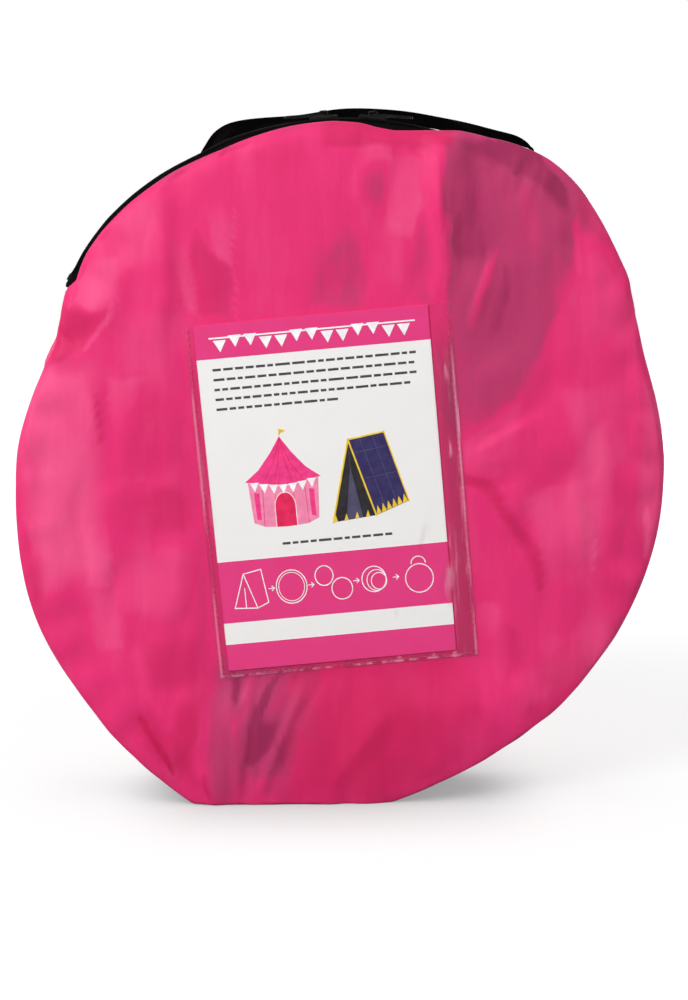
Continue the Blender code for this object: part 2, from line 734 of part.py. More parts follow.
def make_card():
    outline = rounded_outline(CARD_WIDTH / 2, CARD_HEIGHT / 2, CARD_CORNER, CARD_CORNER_STEPS)
    bm = prism([(x, 0.0, z) for x, z in outline], (0.0, -CARD_THICKNESS, 0.0))
    card = add_object("info_card", mesh_from("info_card", bm), "printed_card")
    lean(card, -FACE_DEPTH - GAP)


def make_pocket():
    """A clear film sewn to the panel down both sides and along the bottom, open at the top."""
    seat = -GAP
    film_back = -(2 * GAP + CARD_THICKNESS)
    film_front = film_back - POCKET_FILM
    left = -CARD_WIDTH / 2 - POCKET_LEFT_MARGIN
    right = CARD_WIDTH / 2 + POCKET_RIGHT_MARGIN
    top = CARD_HEIGHT / 2
    bottom = -top - GAP - POCKET_SEAM
    bm = box((left, film_front, bottom), (right, seat, top))
    pocket = add_object("clear_pocket", mesh_from("clear_pocket", bm), "clear_film")
    hollow = box(
        (left + POCKET_SEAM, film_back, bottom + POCKET_SEAM),
        (right - POCKET_SEAM, seat + CUT_OVERRUN, top + CUT_OVERRUN),
    )
    cutter = add_object("pocket_hollow", mesh_from("pocket_hollow", hollow))
    boolean(pocket, cutter)
    for obj in (pocket, cutter):
        lean(obj, -FACE_DEPTH)


def wire_curve(name, points, diameter, material=None):
    """A round wire through points, with closed ends."""
    curve = bpy.data.curves.new(name, "CURVE")
    curve.dimensions = "3D"
    curve.bevel_depth = diameter / 2
    curve.bevel_resolution = 1
    curve.use_fill_caps = True
    spline = curve.splines.new("POLY")
    spline.points.add(len(points) - 1)
    for target, point in zip(spline.points, points):
        target.co = (*point, 1.0)
    return add_object(name, curve, material)


def curve_as_mesh(obj):
    """Turns a wire into a closed mesh and removes the curve."""
    graph = bpy.context.evaluated_depsgraph_get()
    mesh = bpy.data.meshes.new_from_object(obj.evaluated_get(graph))
    bm = bmesh.new()
    bm.from_mesh(mesh)
    bmesh.ops.remove_doubles(bm, verts=bm.verts, dist=WELD_SIZE)
    bpy.data.meshes.remove(mesh)
    name = obj.name
    bpy.data.objects.remove(obj, do_unlink=True)
    return mesh_from(name, bm)


def coil_point(turned, depth, start):
    """A point on a hoop that is folded into turns, each turn a step further round a slim ring."""
    swing = 2 * pi * turned
    angle = start + 2 * pi * HOOP_TURNS * turned
    radius = COIL_RADIUS + COIL_RADIAL_SWING * cos(swing)
    return Vector((
        radius * cos(angle),
        depth + COIL_DEPTH_SWING * sin(swing),
        AXIS_HEIGHT - COIL_DROP + radius * sin(angle),
    ))


def least_self_gap(points, apart):
    """Least gap between two stretches of a wire that lie more than some points apart."""
    least = min(
        (points[i] - points[j]).length
        for i in range(len(points))
        for j in range(i + apart, min(len(points), i + len(points) - apart))
    )
    return least - WIRE_DIAMETER


def make_hoop(name, depth, start):
    """A spring-steel hoop in three turns, and the crimped sleeve that joins its two ends."""
    length = pi * HOOP_DIAMETER
    end = WIRE_END_GAP / 2 / length
    reach = FERRULE_LENGTH / 2
    sleeve = (reach + CUT_OVERRUN) / length
    count = HOOP_TURNS * HOOP_POINTS_PER_TURN
    turned = [end, sleeve, *(i / count for i in range(1, count)), 1 - sleeve, 1 - end]
    points = [coil_point(t, depth, start) for t in turned]
    gap = least_self_gap(points, HOOP_POINTS_PER_TURN // 2)
    print(f"{name}: least gap between its turns {gap * 1000:.2f} mm")
    wire_curve(name, points, WIRE_DIAMETER, "spring_steel")

    bore = WIRE_DIAMETER + 2 * FERRULE_ROOM
    outer = bore + 2 * FERRULE_WALL
    for suffix, diameter, half in (("_ferrule", outer, reach), ("_bore", bore, reach + CUT_OVERRUN)):
        places = even_steps(-half / length, half / length, FERRULE_STEPS)
        route = [coil_point(turned, depth, start) for turned in places]
        mesh = curve_as_mesh(wire_curve(name + suffix + "_route", route, diameter))
        if suffix == "_ferrule":
            ferrule = add_object(name + suffix, mesh, "bright_metal")
        else:
            boolean(ferrule, add_object(name + suffix, mesh))


def pad_radius(angle):
    """Rim of the folded cloth: it fills the bottom of the bag and leaves room for the zip above."""
    return rim_radius(angle) - CLOTH_LOW_INSET - CLOTH_INSET_RISE * (1 + sin(angle)) / 2


def face_fall(row_shares, share):
    """Share of the crown by which a face of the bag has fallen at a share of the rim's radius."""
    inner, inner_fall = 0.0, 0.0
    for outer, _, outer_fall in row_shares:
        if share < outer:
            return inner_fall + (outer_fall - inner_fall) * (share - inner) / (outer - inner)
        inner, inner_fall = outer, outer_fall
    return inner_fall


def make_cloth_pad(name, side, face_shares, pleats, material):
    """Folded cloth between a face of the bag and the coil, gathered in soft pleats."""
    seat = FACE_DEPTH - CLOTH_THICKNESS - GAP
    inner = CORE_HALF_DEPTH + GAP
    floor = CLOTH_THICKNESS + GAP
    rows = []
    for radius_share, tuck_share, pleat_share in PAD_ROW_SHARES:
        row = []
        for i in range(PAD_STEPS):
            angle = 2 * pi * i / PAD_STEPS
            radius = pad_radius(angle) * radius_share
            fold = PLEAT_DEPTH * pleat_share * (1 - cos(pleats * angle)) / 2
            face = seat - CROWN * face_fall(face_shares, radius / rim_radius(angle)) - fold
            row.append(place(angle, radius, side * (face + (inner - face) * tuck_share), floor))
        rows.append(row)
    bm = grid_surface(rows, centre=(0.0, side * seat, AXIS_HEIGHT), closed=True)
    edge = [edge for edge in bm.edges if edge.is_boundary]
    bmesh.ops.contextual_create(bm, geom=edge)
    bmesh.ops.recalc_face_normals(bm, faces=bm.faces)
    pad = add_object(name, mesh_from(name, bm), material)
    shade(pad)


def make_wall_cloth():
    """The walls' cloth, gathered inside the coil round the bundle of poles."""
    centre = COIL_CENTRE
    outline = []
    for i in range(CORE_STEPS):
        angle = 2 * pi * i / CORE_STEPS
        radius = CORE_RADIUS - PLEAT_DEPTH * (1 - cos(CORE_PLEATS * angle)) / 2
        outline.append((radius * cos(angle), -CORE_HALF_DEPTH, centre.z + radius * sin(angle)))
    bm = prism(outline, (0.0, 2 * CORE_HALF_DEPTH, 0.0))
    core = add_object("folded_wall_cloth", mesh_from("folded_wall_cloth", bm), "pale_cloth")
    half_length = POLE_SECTION_LENGTH / 2 + WINDOW_END_ROOM
    half_height = (POLE_COUNT * POLE_PITCH + GAP) / 2
    deep = CORE_HALF_DEPTH + CUT_OVERRUN
    window = box(
        (-half_length, -deep, centre.z - half_height),
        (half_length, deep, centre.z + half_height),
    )
    boolean(core, add_object("pole_window", mesh_from("pole_window", window)))
    shade(core)


def pole_profile(has_spigot):
    """Half section of a pole tube along its axis, from its upper end down to its socket."""
    half = POLE_SECTION_LENGTH / 2
    outer = POLE_DIAMETER / 2
    bore = POLE_BORE_DIAMETER / 2
    if has_spigot:
        spigot = POLE_SPIGOT_DIAMETER / 2
        shoulder = half - POLE_SPIGOT_LENGTH
        head = [(0.0, half), (spigot - POLE_CHAMFER, half), (spigot, half - POLE_CHAMFER)]
        head += [(spigot, shoulder), (outer, shoulder)]
    else:
        head = [(0.0, half), (outer - POLE_CHAMFER, half), (outer, half - POLE_CHAMFER)]
    tail = [(outer, -half), (bore, -half), (bore, POLE_BORE_LENGTH - half), (0.0, POLE_BORE_LENGTH - half)]
    return head + tail


def make_poles():
    """Four wall poles, each taken apart into three sections, in one bundle across the coil."""
    for number in range(POLE_COUNT):
        height = COIL_CENTRE.z + (number - (POLE_COUNT - 1) / 2) * POLE_PITCH
        for layer, section in enumerate(POLE_SECTION_NAMES):
            name = f"wall_pole_{number + 1}_{section}"
            profile = pole_profile(has_spigot=section != POLE_SECTION_NAMES[-1])
            mesh = bpy.data.meshes.new(name)
            edges = [(i, i + 1) for i in range(len(profile) - 1)]
            mesh.from_pydata([(radius, 0.0, along) for radius, along in profile], edges, [])
            pole = add_object(name, mesh, "white_tube")
            pole.location = (0.0, (layer - 1) * POLE_PITCH, height)
            pole.rotation_euler.y = pi / 2
            screw = pole.modifiers.new("turned", "SCREW")
            screw.steps = POLE_STEPS
            screw.render_steps = POLE_STEPS
            screw.use_merge_vertices = True
            screw.merge_threshold = WELD_SIZE
            screw.use_smooth_shade = True


make_front_panel()
make_front_flap()
make_back_panel()
make_side_bands()
front_tape = make_zip_row("zip_tape_front", -1, GAP - HALF_BAND, -TOOTH_STAGGER_SHARE)
put_origin(front_tape, FLAP_HINGE)
make_zip_row("zip_tape_rear", 1, TOP_BAND_EDGE - GAP, TOOTH_STAGGER_SHARE)
make_zip_stops()
make_sliders()
make_handle()
make_card()
make_pocket()
make_hoop("eave_hoop", -COIL_SPACING / 2, EAVE_COIL_START)
make_hoop("floor_hoop", COIL_SPACING / 2, FLOOR_COIL_START)
make_cloth_pad("folded_roof_cloth", -1, FRONT_ROW_SHARES, ROOF_PLEATS, "pale_cloth")
make_wall_cloth()
make_cloth_pad("folded_ground_sheet", 1, BACK_ROW_SHARES, GROUND_PLEATS, "white_cloth")
make_poles()
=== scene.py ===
"""The looks of a pop-up play tent for children, folded and zipped into its round carry bag."""

import random
from math import acos, ceil, cos, hypot, pi, radians, sin

import bmesh
import bpy
import numpy as np
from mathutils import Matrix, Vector, noise


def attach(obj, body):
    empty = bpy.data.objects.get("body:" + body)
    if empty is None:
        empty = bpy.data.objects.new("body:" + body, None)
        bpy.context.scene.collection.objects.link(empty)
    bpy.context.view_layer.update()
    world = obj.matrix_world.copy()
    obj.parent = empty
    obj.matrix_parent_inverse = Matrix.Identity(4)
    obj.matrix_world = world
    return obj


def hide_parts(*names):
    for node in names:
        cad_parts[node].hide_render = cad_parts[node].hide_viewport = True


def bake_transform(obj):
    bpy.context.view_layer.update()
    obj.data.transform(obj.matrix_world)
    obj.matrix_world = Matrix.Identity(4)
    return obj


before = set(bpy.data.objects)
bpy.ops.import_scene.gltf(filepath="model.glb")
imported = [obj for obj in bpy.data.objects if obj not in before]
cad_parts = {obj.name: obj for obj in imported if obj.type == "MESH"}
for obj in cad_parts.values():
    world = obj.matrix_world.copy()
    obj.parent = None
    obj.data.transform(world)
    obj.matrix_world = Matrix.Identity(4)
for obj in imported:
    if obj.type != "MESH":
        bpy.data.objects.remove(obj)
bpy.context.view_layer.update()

# Sizes that the bag's solids have, in metres
ZIP_RADIUS = 0.200
AXIS_HEIGHT = 0.221
FACE_DEPTH = 0.034
HALF_BAND = 0.025
CROWN = FACE_DEPTH - HALF_BAND
CLOTH_THICKNESS = 0.0007
SHOULDER_PUFF = 0.015
SHOULDER_ANGLE = radians(56)
SHOULDER_SPREAD = radians(28)
FOLD_HEIGHT = 0.100
FOLD_ANGLE = acos(FOLD_HEIGHT / ZIP_RADIUS)
LOWER_RIM_SHARES = (
    1.0, 0.978, 1.021, 1.058, 1.106, 1.134, 1.172, 1.165, 1.125, 1.085, 1.040, 1.018, 1.002, 0.989, 0.972,
    0.962, 1.0,
)
FRONT_ROW_SHARES = (
    (0.0, 0.0, 0.0), (0.20, 0.0, 0.0), (0.40, 0.0, 0.0), (0.60, 0.0, 0.0), (0.77, 0.0, 0.0),
    (0.88, 0.25, 0.10), (0.955, 0.62, 0.27), (0.992, 0.92, 0.50), (1.0, 1.0, 0.70), (1.0, 0.75, 0.88),
    (1.0, 0.0, 1.0),
)
BACK_ROW_SHARES = (
    (0.0, 0.0, 0.0), (0.17, 0.0, 0.01), (0.34, 0.0, 0.03), (0.62, 0.0, 0.12), (0.82, 0.0, 0.27),
    (0.93, 0.0, 0.47), (0.985, 0.0, 0.68), (1.0, 0.0, 0.84), (1.0, 0.0, 1.0),
)
BAND_BULGE = 0.0025
TOP_BAND_EDGE = -0.0060
CHAIN_CENTRE = -0.015
TEETH_REACH = 0.0044
TEETH_BASE_RADIUS = 0.1983
TAPE_EDGE_DEPTH = -0.0212
TAPE_EDGE_REACH = 0.0052
ZIP_HALF_ANGLE = radians(57.28)

# The strap of the handle, and the ends that are sewn down
STRAP_WIDTH = 0.025
STRAP_THICKNESS = 0.0018
STRAP_CENTRE = 0.010
STRAP_STEPS = 14
HANDLE_LEFT_ANGLE = radians(117)
HANDLE_RIGHT_ANGLE = radians(58)
HANDLE_TIP_RADIUS = 0.2024
HANDLE_RISE = 0.0155
ANCHOR_LENGTH = 0.030
HANDLE_ROUTE_SHARES = (
    (0.0, 0.12), (0.03, 0.38), (0.085, 0.77), (0.15, 0.77), (0.30, 0.42), (0.45, 0.44), (0.60, 0.53),
    (0.75, 0.66), (0.88, 0.94), (0.955, 1.16), (1.0, 0.96), (1.008, 0.2),
)
HANDLE_LEANS = (3, 15, 25, 24, 18, 17, 20, 21, 22, 15, 6, 2)
HANDLE_LIFT = 0.0016

# The card and its pocket
CARD_WIDTH = 0.142
CARD_HEIGHT = 0.214
CARD_THICKNESS = 0.0005
CARD_CENTRE = (-0.0136, 0.1977)
CARD_LEAN = radians(5.2)
CARD_BACK = -0.0343
POCKET_LEFT_MARGIN = 0.0060
POCKET_RIGHT_MARGIN = 0.0136
POCKET_SEAM = 0.0045

# The folded pack inside the bag
PACK_RADIUS = 0.175
PACK_HALF_DEPTH = 0.0147
PACK_DROP = 0.010

MM = 0.001

# Levels of the sky and of the floor's glow near the bag, and the reach of the floor's painted contact shadow
SKY_LEVEL = 0.30
NEAR_GLOW = 0.76
PAINTED_SHADOW_REACH = 0.13

# How finely the cloth is cut up
FACE_COLUMNS = 640
ROW_STEPS = 9


def smooth_route(points, steps):
    """Points along a smooth curve that passes through the given ones."""
    points = [Vector(point) for point in points]
    padded = [2 * points[0] - points[1], *points, 2 * points[-1] - points[-2]]
    route = []
    for a, b, c, d in zip(padded, padded[1:], padded[2:], padded[3:]):
        for i in range(steps):
            t = i / steps
            route.append(
                b + (c - a) * t / 2
                + (2 * a - 5 * b + 4 * c - d) * t * t / 2
                + (3 * b - a - 3 * c + d) * t * t * t / 2
            )
    return route + [points[-1]]


def smooth_step(value, low, high):
    """0 below low, 1 above high and a smooth rise between."""
    t = np.clip((np.asarray(value, float) - low) / (high - low), 0.0, 1.0)
    return t * t * (3 - 2 * t)


def rim_radius(angle):
    """Radius of the seams: a true arc along the zip, a slack pear shape below it."""
    start = pi / 2 + FOLD_ANGLE
    sweep = 2 * pi - 2 * FOLD_ANGLE
    turned = (angle - start) % (2 * pi)
    if turned >= sweep:
        return ZIP_RADIUS
    table = LOWER_RIM_SHARES
    last = len(table) - 1
    spot = turned / sweep * last
    i = min(int(spot), last - 1)
    t = spot - i
    slope_in = (table[i + 1] - table[i - 1]) / 2 if i > 0 else 0.0
    slope_out = (table[i + 2] - table[i]) / 2 if i < last - 1 else 0.0
    rise = table[i + 1] - table[i]
    share = table[i] + t * slope_in + t * t * (3 * rise - 2 * slope_in - slope_out)
    share += t * t * t * (slope_in + slope_out - 2 * rise)
    return ZIP_RADIUS * share


def shoulder_puff(angle):
    """How far the front cloth swells past its seam at the right shoulder."""
    away = abs(angle - SHOULDER_ANGLE)
    if away >= SHOULDER_SPREAD:
        return 0.0
    return SHOULDER_PUFF * cos(away / SHOULDER_SPREAD * pi / 2) ** 2


# How far the front's rim is drawn in from its full size, in millimetres, at places round the bag, in degrees
FRONT_PULLS = (
    (0, 0.3), (10, 1.2), (15, 2.5), (20, 4.4), (25, 5.4), (29, 3.3), (31.2, 0.9), (33, 0.3), (38, 0.6),
    (46, 1.4), (52, 0.6), (56, 0.0), (143, 0.0), (147, 1.0), (151, 3.8), (155, 6.2), (160, 6.9), (164, 3.6),
    (169, 2.0), (180, 1.4), (186, 1.7), (192, 0.9), (198, 0.0), (358, 0.0),
)


def at_angle(table, angle):
    """The length that a table of degrees and millimetres gives at an angle."""
    return MM * np.interp(np.degrees(angle) % 360, *zip(*table))


def front_pull(angle):
    """How far the front's rim is drawn in at an angle, most of all just under both ends of the zip."""
    return float(at_angle(FRONT_PULLS, angle))


def ripple(x, y, size, seed):
    """Smooth noise from about -1 to 1 over a plane, with waves of a given size."""
    spots = zip(np.ravel(x) / size, np.ravel(y) / size)
    values = [noise.noise(Vector((u, v, seed))) for u, v in spots]
    return np.array(values).reshape(np.shape(x)) * 1.6


def slack_planes(x, z, size, seed):
    """Slack cloth at one scale: flattish planes that meet in creases, from about -1 to 1."""
    drift_x = x + 0.35 * size * ripple(x, z, size * 1.3, seed + 11.3)
    drift_z = z * 0.75 + 0.35 * size * ripple(x, z, size * 1.3, seed + 23.7)
    ridge = 1 - np.sqrt(ripple(drift_x, drift_z, size, seed) ** 2 + 0.004)
    valley = np.sqrt(ripple(drift_x, drift_z, size, seed + 5.1) ** 2 + 0.004)
    return ridge * 0.7 + valley * 0.7 - 0.6


def crease_height(x, z, start, end, width, height, lean=0.0):
    """One crease: a ridge along a line that fades at both ends. lean widens the right side or the left."""
    ax, az = start
    bx, bz = end
    length = np.hypot(bx - ax, bz - az)
    ux, uz = (bx - ax) / length, (bz - az) / length
    along = ((x - ax) * ux + (z - az) * uz) / length
    bend = 0.06 * length * ripple(along * 0.5, along * 0 + ax * 40, 1.0, az * 50)
    across = -(x - ax) * uz + (z - az) * ux + bend
    reach = width * np.where(across > 0, 1 + lean, 1 - lean)
    profile = np.clip(1 - np.abs(across) / reach, 0, 1)
    profile = profile * (1 - 0.35 * (1 - profile))
    fade = smooth_step(along, -0.08, 0.3) * (1 - smooth_step(along, 0.7, 1.08))
    return height * profile * fade


def in_card_frame(x, z):
    """Places on the front face as the leaning card has them: across it and up it."""
    dx, dz = x - CARD_CENTRE[0], z - CARD_CENTRE[1]
    return dx * cos(CARD_LEAN) + dz * sin(CARD_LEAN), -dx * sin(CARD_LEAN) + dz * cos(CARD_LEAN)


def outside_pocket(x, z, room=0.018):
    """0 under the pocket, rising to 1 a little way outside it."""
    u, v = in_card_frame(x, z)
    left, right = -CARD_WIDTH / 2 - POCKET_LEFT_MARGIN, CARD_WIDTH / 2 + POCKET_RIGHT_MARGIN
    out_u = np.maximum(left - u, u - right)
    out_v = np.maximum(-CARD_HEIGHT / 2 - POCKET_SEAM - v, v - CARD_HEIGHT / 2)
    away = np.hypot(np.maximum(out_u, 0), np.maximum(out_v, 0))
    return smooth_step(away, 0.0, room)


def card_way(x, z):
    """1 where the card passes when it slides up out of its pocket, falling to 0 beside that."""
    u, v = in_card_frame(x, z)
    return (
        1 - smooth_step(np.abs(u), CARD_WIDTH / 2 + 0.0015, CARD_WIDTH / 2 + 0.014)
    ) * smooth_step(v, CARD_HEIGHT / 2 - 0.004, CARD_HEIGHT / 2)


# Flat stretches of the front's slack cloth, in millimetres: middle, reach, and rise to the right and upward
FRONT_FACETS = (
    ((-150, 322), (14, 20), (0.24, -0.14)), ((-167, 297), (11, 9), (-0.28, 0.16)),
    ((-141, 362), (20, 16), (-0.06, 0.08)), ((-122, 344), (14, 16), (0.12, -0.06)),
    ((-82, 357), (9, 20), (0.22, -0.04)), ((-92, 331), (6, 22), (-0.22, 0.02)),
    ((-99, 322), (5, 22), (0.22, 0.0)), ((-78, 314), (10, 14), (-0.16, 0.08)),
    ((-108, 303), (8, 12), (-0.24, 0.12)), ((-124, 312), (12, 16), (0.16, -0.04)),
    ((-39, 372), (26, 26), (0.04, -0.05)), ((-10, 322), (16, 18), (-0.18, 0.12)),
    ((41, 379), (12, 24), (0.28, -0.12)), ((15, 380), (9, 12), (-0.24, 0.14)),
    ((27, 344), (12, 22), (0.20, -0.10)), ((67, 356), (9, 48), (-0.26, 0.0)),
    ((104, 362), (16, 34), (0.08, -0.06)), ((132, 370), (9, 22), (-0.14, 0.02)),
    ((92, 334), (7, 12), (0.26, -0.14)), ((82, 296), (16, 18), (-0.10, 0.10)),
    ((150, 319), (14, 26), (0.12, -0.05)), ((168, 300), (8, 22), (-0.22, 0.02)),
    ((128, 242), (14, 20), (0.14, -0.16)), ((98, 254), (18, 14), (-0.10, 0.16)),
    ((156, 201), (10, 30), (0.16, -0.04)), ((181, 198), (8, 14), (-0.28, 0.08)),
    ((188, 168), (5, 18), (0.14, 0.0)), ((131, 180), (13, 22), (0.14, -0.12)),
    ((106, 177), (7, 16), (-0.26, 0.14)), ((122, 140), (6, 20), (-0.24, 0.04)),
    ((94, 150), (10, 18), (0.10, -0.04)), ((86, 206), (12, 7), (-0.06, 0.28)),
    ((88, 222), (12, 8), (0.08, -0.26)), ((86, 112), (9, 14), (0.20, -0.08)),
    ((103, 99), (6, 15), (-0.24, 0.06)), ((131, 103), (12, 16), (0.10, -0.04)),
    ((154, 109), (9, 12), (0.14, -0.12)), ((131, 66), (18, 16), (-0.10, 0.10)),
    ((44, 44), (34, 18), (-0.03, 0.12)), ((94, 41), (22, 16), (-0.08, 0.08)),
    ((-158, 161), (9, 26), (0.24, -0.08)), ((-194, 140), (7, 14), (-0.16, 0.12)),
    ((-122, 184), (20, 15), (-0.14, 0.18)), ((-125, 137), (18, 14), (0.10, -0.14)),
    ((-144, 229), (6, 28), (0.24, 0.0)), ((-129, 226), (9, 24), (-0.16, 0.0)),
    ((-113, 246), (7, 20), (0.14, 0.0)), ((-177, 208), (10, 24), (0.14, -0.04)),
    ((-180, 252), (9, 14), (0.08, 0.06)), ((-156, 103), (14, 16), (0.06, -0.04)),
    ((-113, 87), (16, 12), (-0.10, 0.12)), ((-141, 60), (12, 10), (-0.08, 0.10)),
    ((-101, 36), (7, 24), (-0.18, 0.08)), ((-82, 42), (6, 28), (0.24, -0.06)),
    ((-53, 44), (12, 24), (-0.26, 0.12)), ((-67, 56), (5, 18), (0.14, 0.0)),
    ((-30, 56), (9, 18), (0.18, -0.03)), ((-11, 62), (8, 14), (-0.14, 0.05)),
    ((10, 70), (10, 12), (0.12, -0.03)),
)

# Sharp creases of the front: where each starts and ends, its half width, its height and its lean
FRONT_CREASES = (
    ((-0.069, 0.368), (-0.070, 0.303), 0.0020, 0.0005, 0.0),
    ((0.057, 0.404), (0.061, 0.305), 0.0100, 0.0020, -0.6),
    ((0.119, 0.242), (0.054, 0.201), 0.0090, 0.0016, 0.4),
    ((0.140, 0.207), (0.146, 0.152), 0.0060, 0.0012, -0.3),
    ((-0.156, 0.263), (-0.150, 0.200), 0.0050, 0.0008, 0.3),
    ((-0.116, 0.272), (-0.122, 0.205), 0.0060, 0.0009, -0.3),
    ((-0.128, 0.080), (-0.076, 0.008), 0.0050, 0.0017, 0.0),
    ((-0.112, 0.062), (-0.084, 0.010), 0.0035, -0.0012, 0.0),
    ((-0.084, 0.100), (-0.070, 0.008), 0.0045, 0.0016, 0.2),
    ((-0.056, 0.098), (-0.066, 0.008), 0.0040, -0.0013, 0.0),
    ((-0.026, 0.084), (-0.062, 0.010), 0.0060, 0.0019, 0.0),
    ((-0.014, 0.080), (-0.040, 0.050), 0.0035, -0.0010, 0.0),
    ((-0.056, 0.084), (-0.070, 0.058), 0.0030, 0.0010, 0.0),
    ((0.032, 0.072), (-0.014, 0.010), 0.0100, 0.0014, 0.0),
    ((0.094, 0.130), (0.112, 0.060), 0.0090, 0.0014, 0.3),
    ((0.148, 0.178), (0.152, 0.148), 0.0025, 0.0007, 0.0),
    ((0.088, 0.346), (0.070, 0.296), 0.0060, 0.0014, 0.3),
    ((-0.070, 0.416), (-0.076, 0.395), 0.0026, -0.0014, 0.0),
    ((-0.077, 0.411), (-0.086, 0.396), 0.0026, -0.0014, 0.0),
    ((-0.084, 0.408), (-0.091, 0.394), 0.0024, -0.0012, 0.0),
    ((-0.056, 0.420), (-0.064, 0.398), 0.0030, -0.0010, 0.0),
    ((0.073, 0.410), (0.090, 0.392), 0.0036, 0.0014, 0.0),
    ((0.102, 0.402), (0.100, 0.376), 0.0040, 0.0014, 0.0),
    ((0.116, 0.394), (0.112, 0.372), 0.0040, -0.0012, 0.0),
    ((0.144, 0.360), (0.152, 0.300), 0.0060, 0.0010, 0.3),
    ((0.172, 0.300), (0.184, 0.226), 0.0070, 0.0010, 0.0),
    ((-0.188, 0.190), (-0.168, 0.120), 0.0080, 0.0012, 0.0),
)

BACK_CREASES = (
    ((-0.090, 0.380), (0.050, 0.330), 0.0080, 0.0016, 0.3),
    ((0.060, 0.390), (0.130, 0.300), 0.0070, 0.0014, 0.0),
    ((0.000, 0.290), (0.060, 0.180), 0.0090, 0.0018, -0.4),
    ((-0.060, 0.190), (-0.110, 0.110), 0.0080, 0.0014, 0.0),
    ((-0.020, 0.140), (-0.060, 0.010), 0.0070, 0.0018, 0.0),
    ((-0.080, 0.100), (-0.070, 0.008), 0.0050, -0.0014, 0.0),
    ((0.040, 0.110), (-0.020, 0.010), 0.0060, -0.0014, 0.0),
    ((-0.130, 0.100), (-0.085, 0.020), 0.0060, 0.0014, 0.0),
    ((0.160, 0.200), (0.140, 0.110), 0.0080, 0.0012, 0.0),
)


def scattered_facets(count, seed):
    """Flat stretches of slack cloth spread evenly over a face, each leaning its own way."""
    dice = random.Random(seed)
    facets = []
    for k in range(count):
        reach = 195 * (k / count) ** 0.5
        turn = k * 2.4 + dice.uniform(-0.4, 0.4)
        middle = (reach * cos(turn), 1000 * AXIS_HEIGHT + reach * sin(turn))
        size = (dice.uniform(9, 20), dice.uniform(14, 30))
        facets.append((middle, size, (dice.uniform(-0.26, 0.26), dice.uniform(-0.16, 0.16))))
    return facets


def facet_height(x, z, facets, hold=0.3):
    """Slack cloth that hangs in flat stretches, each leaning its own way, with soft folds between them."""
    x = 1000 * (x + 0.0035 * ripple(x, z, 0.035, 90.5))
    z = 1000 * (z + 0.0050 * ripple(x / 1000, z, 0.045, 95.5))
    total = hold
    height = 0.0
    for (middle_x, middle_z), (reach_x, reach_z), (rise_x, rise_z) in facets:
        dx, dz = x - middle_x, z - middle_z
        near = np.exp(-0.75 * np.hypot(dx / reach_x, dz / reach_z) ** 3)
        total = total + near
        height = height + near * (rise_x * dx + rise_z * dz)
    return MM * height / total


def cloth_relief(x, z, facets, creases, seed):
    """How far slack cloth stands out from the smooth form of a face of the bag."""
    relief = 0.0012 + 0.6 * facet_height(x, z, facets)
    relief += 0.0007 * slack_planes(x, z, 0.110, seed)
    drape = ripple(x + 0.006 * ripple(x, z, 0.06, seed + 70), z * 0.22, 0.021, seed + 80)
    relief += 0.0011 * (np.sqrt(drape ** 2 + 0.01) - 0.35)
    relief += 0.0012 * ripple(x, z, 0.16, seed + 60)
    for start, end, width, height, lean in creases:
        relief += crease_height(x, z, start, end, width, height, lean)
    return relief


def rim_puckers(angles, share, seed):
    """Small gathers that run in from a seam, strongest just inside it."""
    rows = np.array([
        0.55 * sin(angle * 41 + 3 * noise.noise(Vector((cos(angle) * 3, sin(angle) * 3, seed))))
        + 1.3 * noise.noise(Vector((cos(angle) * 13, sin(angle) * 13, seed + 9)))
        for angle in angles
    ])
    strength = smooth_step(share, 0.84, 0.95) * (1 - smooth_step(share, 0.985, 1.0))
    return 0.0011 * rows[None, :] * strength[:, None]


def grid_mesh(name, points, uv, closed=False, flip=False):
    """A smooth surface through a grid of points, with a map of the cloth in metres."""
    rows, cols = points.shape[:2]
    index = np.arange(rows * cols).reshape(rows, cols)
    after = np.roll(index, -1, axis=1)
    spans = cols if closed else cols - 1
    corners = [index[:-1, :spans], index[1:, :spans], after[1:, :spans], after[:-1, :spans]]
    faces = np.stack(corners, axis=-1).reshape(-1, 4)
    if flip:
        faces = faces[:, ::-1]
    mesh = bpy.data.meshes.new(name)
    mesh.from_pydata(points.reshape(-1, 3).tolist(), [], faces.tolist())
    layer = mesh.uv_layers.new(name="Cloth")
    corner = np.empty(len(mesh.loops), np.int32)
    mesh.loops.foreach_get("vertex_index", corner)
    layer.uv.foreach_set("vector", uv.reshape(-1, 2)[corner].astype(np.float32).ravel())
    bm = bmesh.new()
    bm.from_mesh(mesh)
    bmesh.ops.remove_doubles(bm, verts=bm.verts, dist=0.00002)
    bm.to_mesh(mesh)
    bm.free()
    mesh.shade_smooth()
    return mesh


def close_mesh(mesh):
    """Fills the open ends of a mesh and turns its faces outward."""
    bm = bmesh.new()
    bm.from_mesh(mesh)
    ends = [edge for edge in bm.edges if edge.is_boundary]
    if ends:
        bmesh.ops.holes_fill(bm, edges=ends)
    bmesh.ops.recalc_face_normals(bm, faces=bm.faces)
    bm.to_mesh(mesh)
    bm.free()
    mesh.shade_smooth()


def smooth_mesh(bm, name):
    """A smooth mesh from shapes that were put together one by one."""
    bmesh.ops.recalc_face_normals(bm, faces=bm.faces)
    mesh = bpy.data.meshes.new(name)
    bm.to_mesh(mesh)
    bm.free()
    mesh.shade_smooth()
    return mesh


def join_rings(bm, rings):
    """Faces between rings of corners, and a face on each end."""
    for near, far in zip(rings, rings[1:]):
        for k in range(len(near)):
            after = (k + 1) % len(near)
            bm.faces.new((near[k], far[k], far[after], near[after]))
    bm.faces.new(rings[0])
    bm.faces.new(list(reversed(rings[-1])))


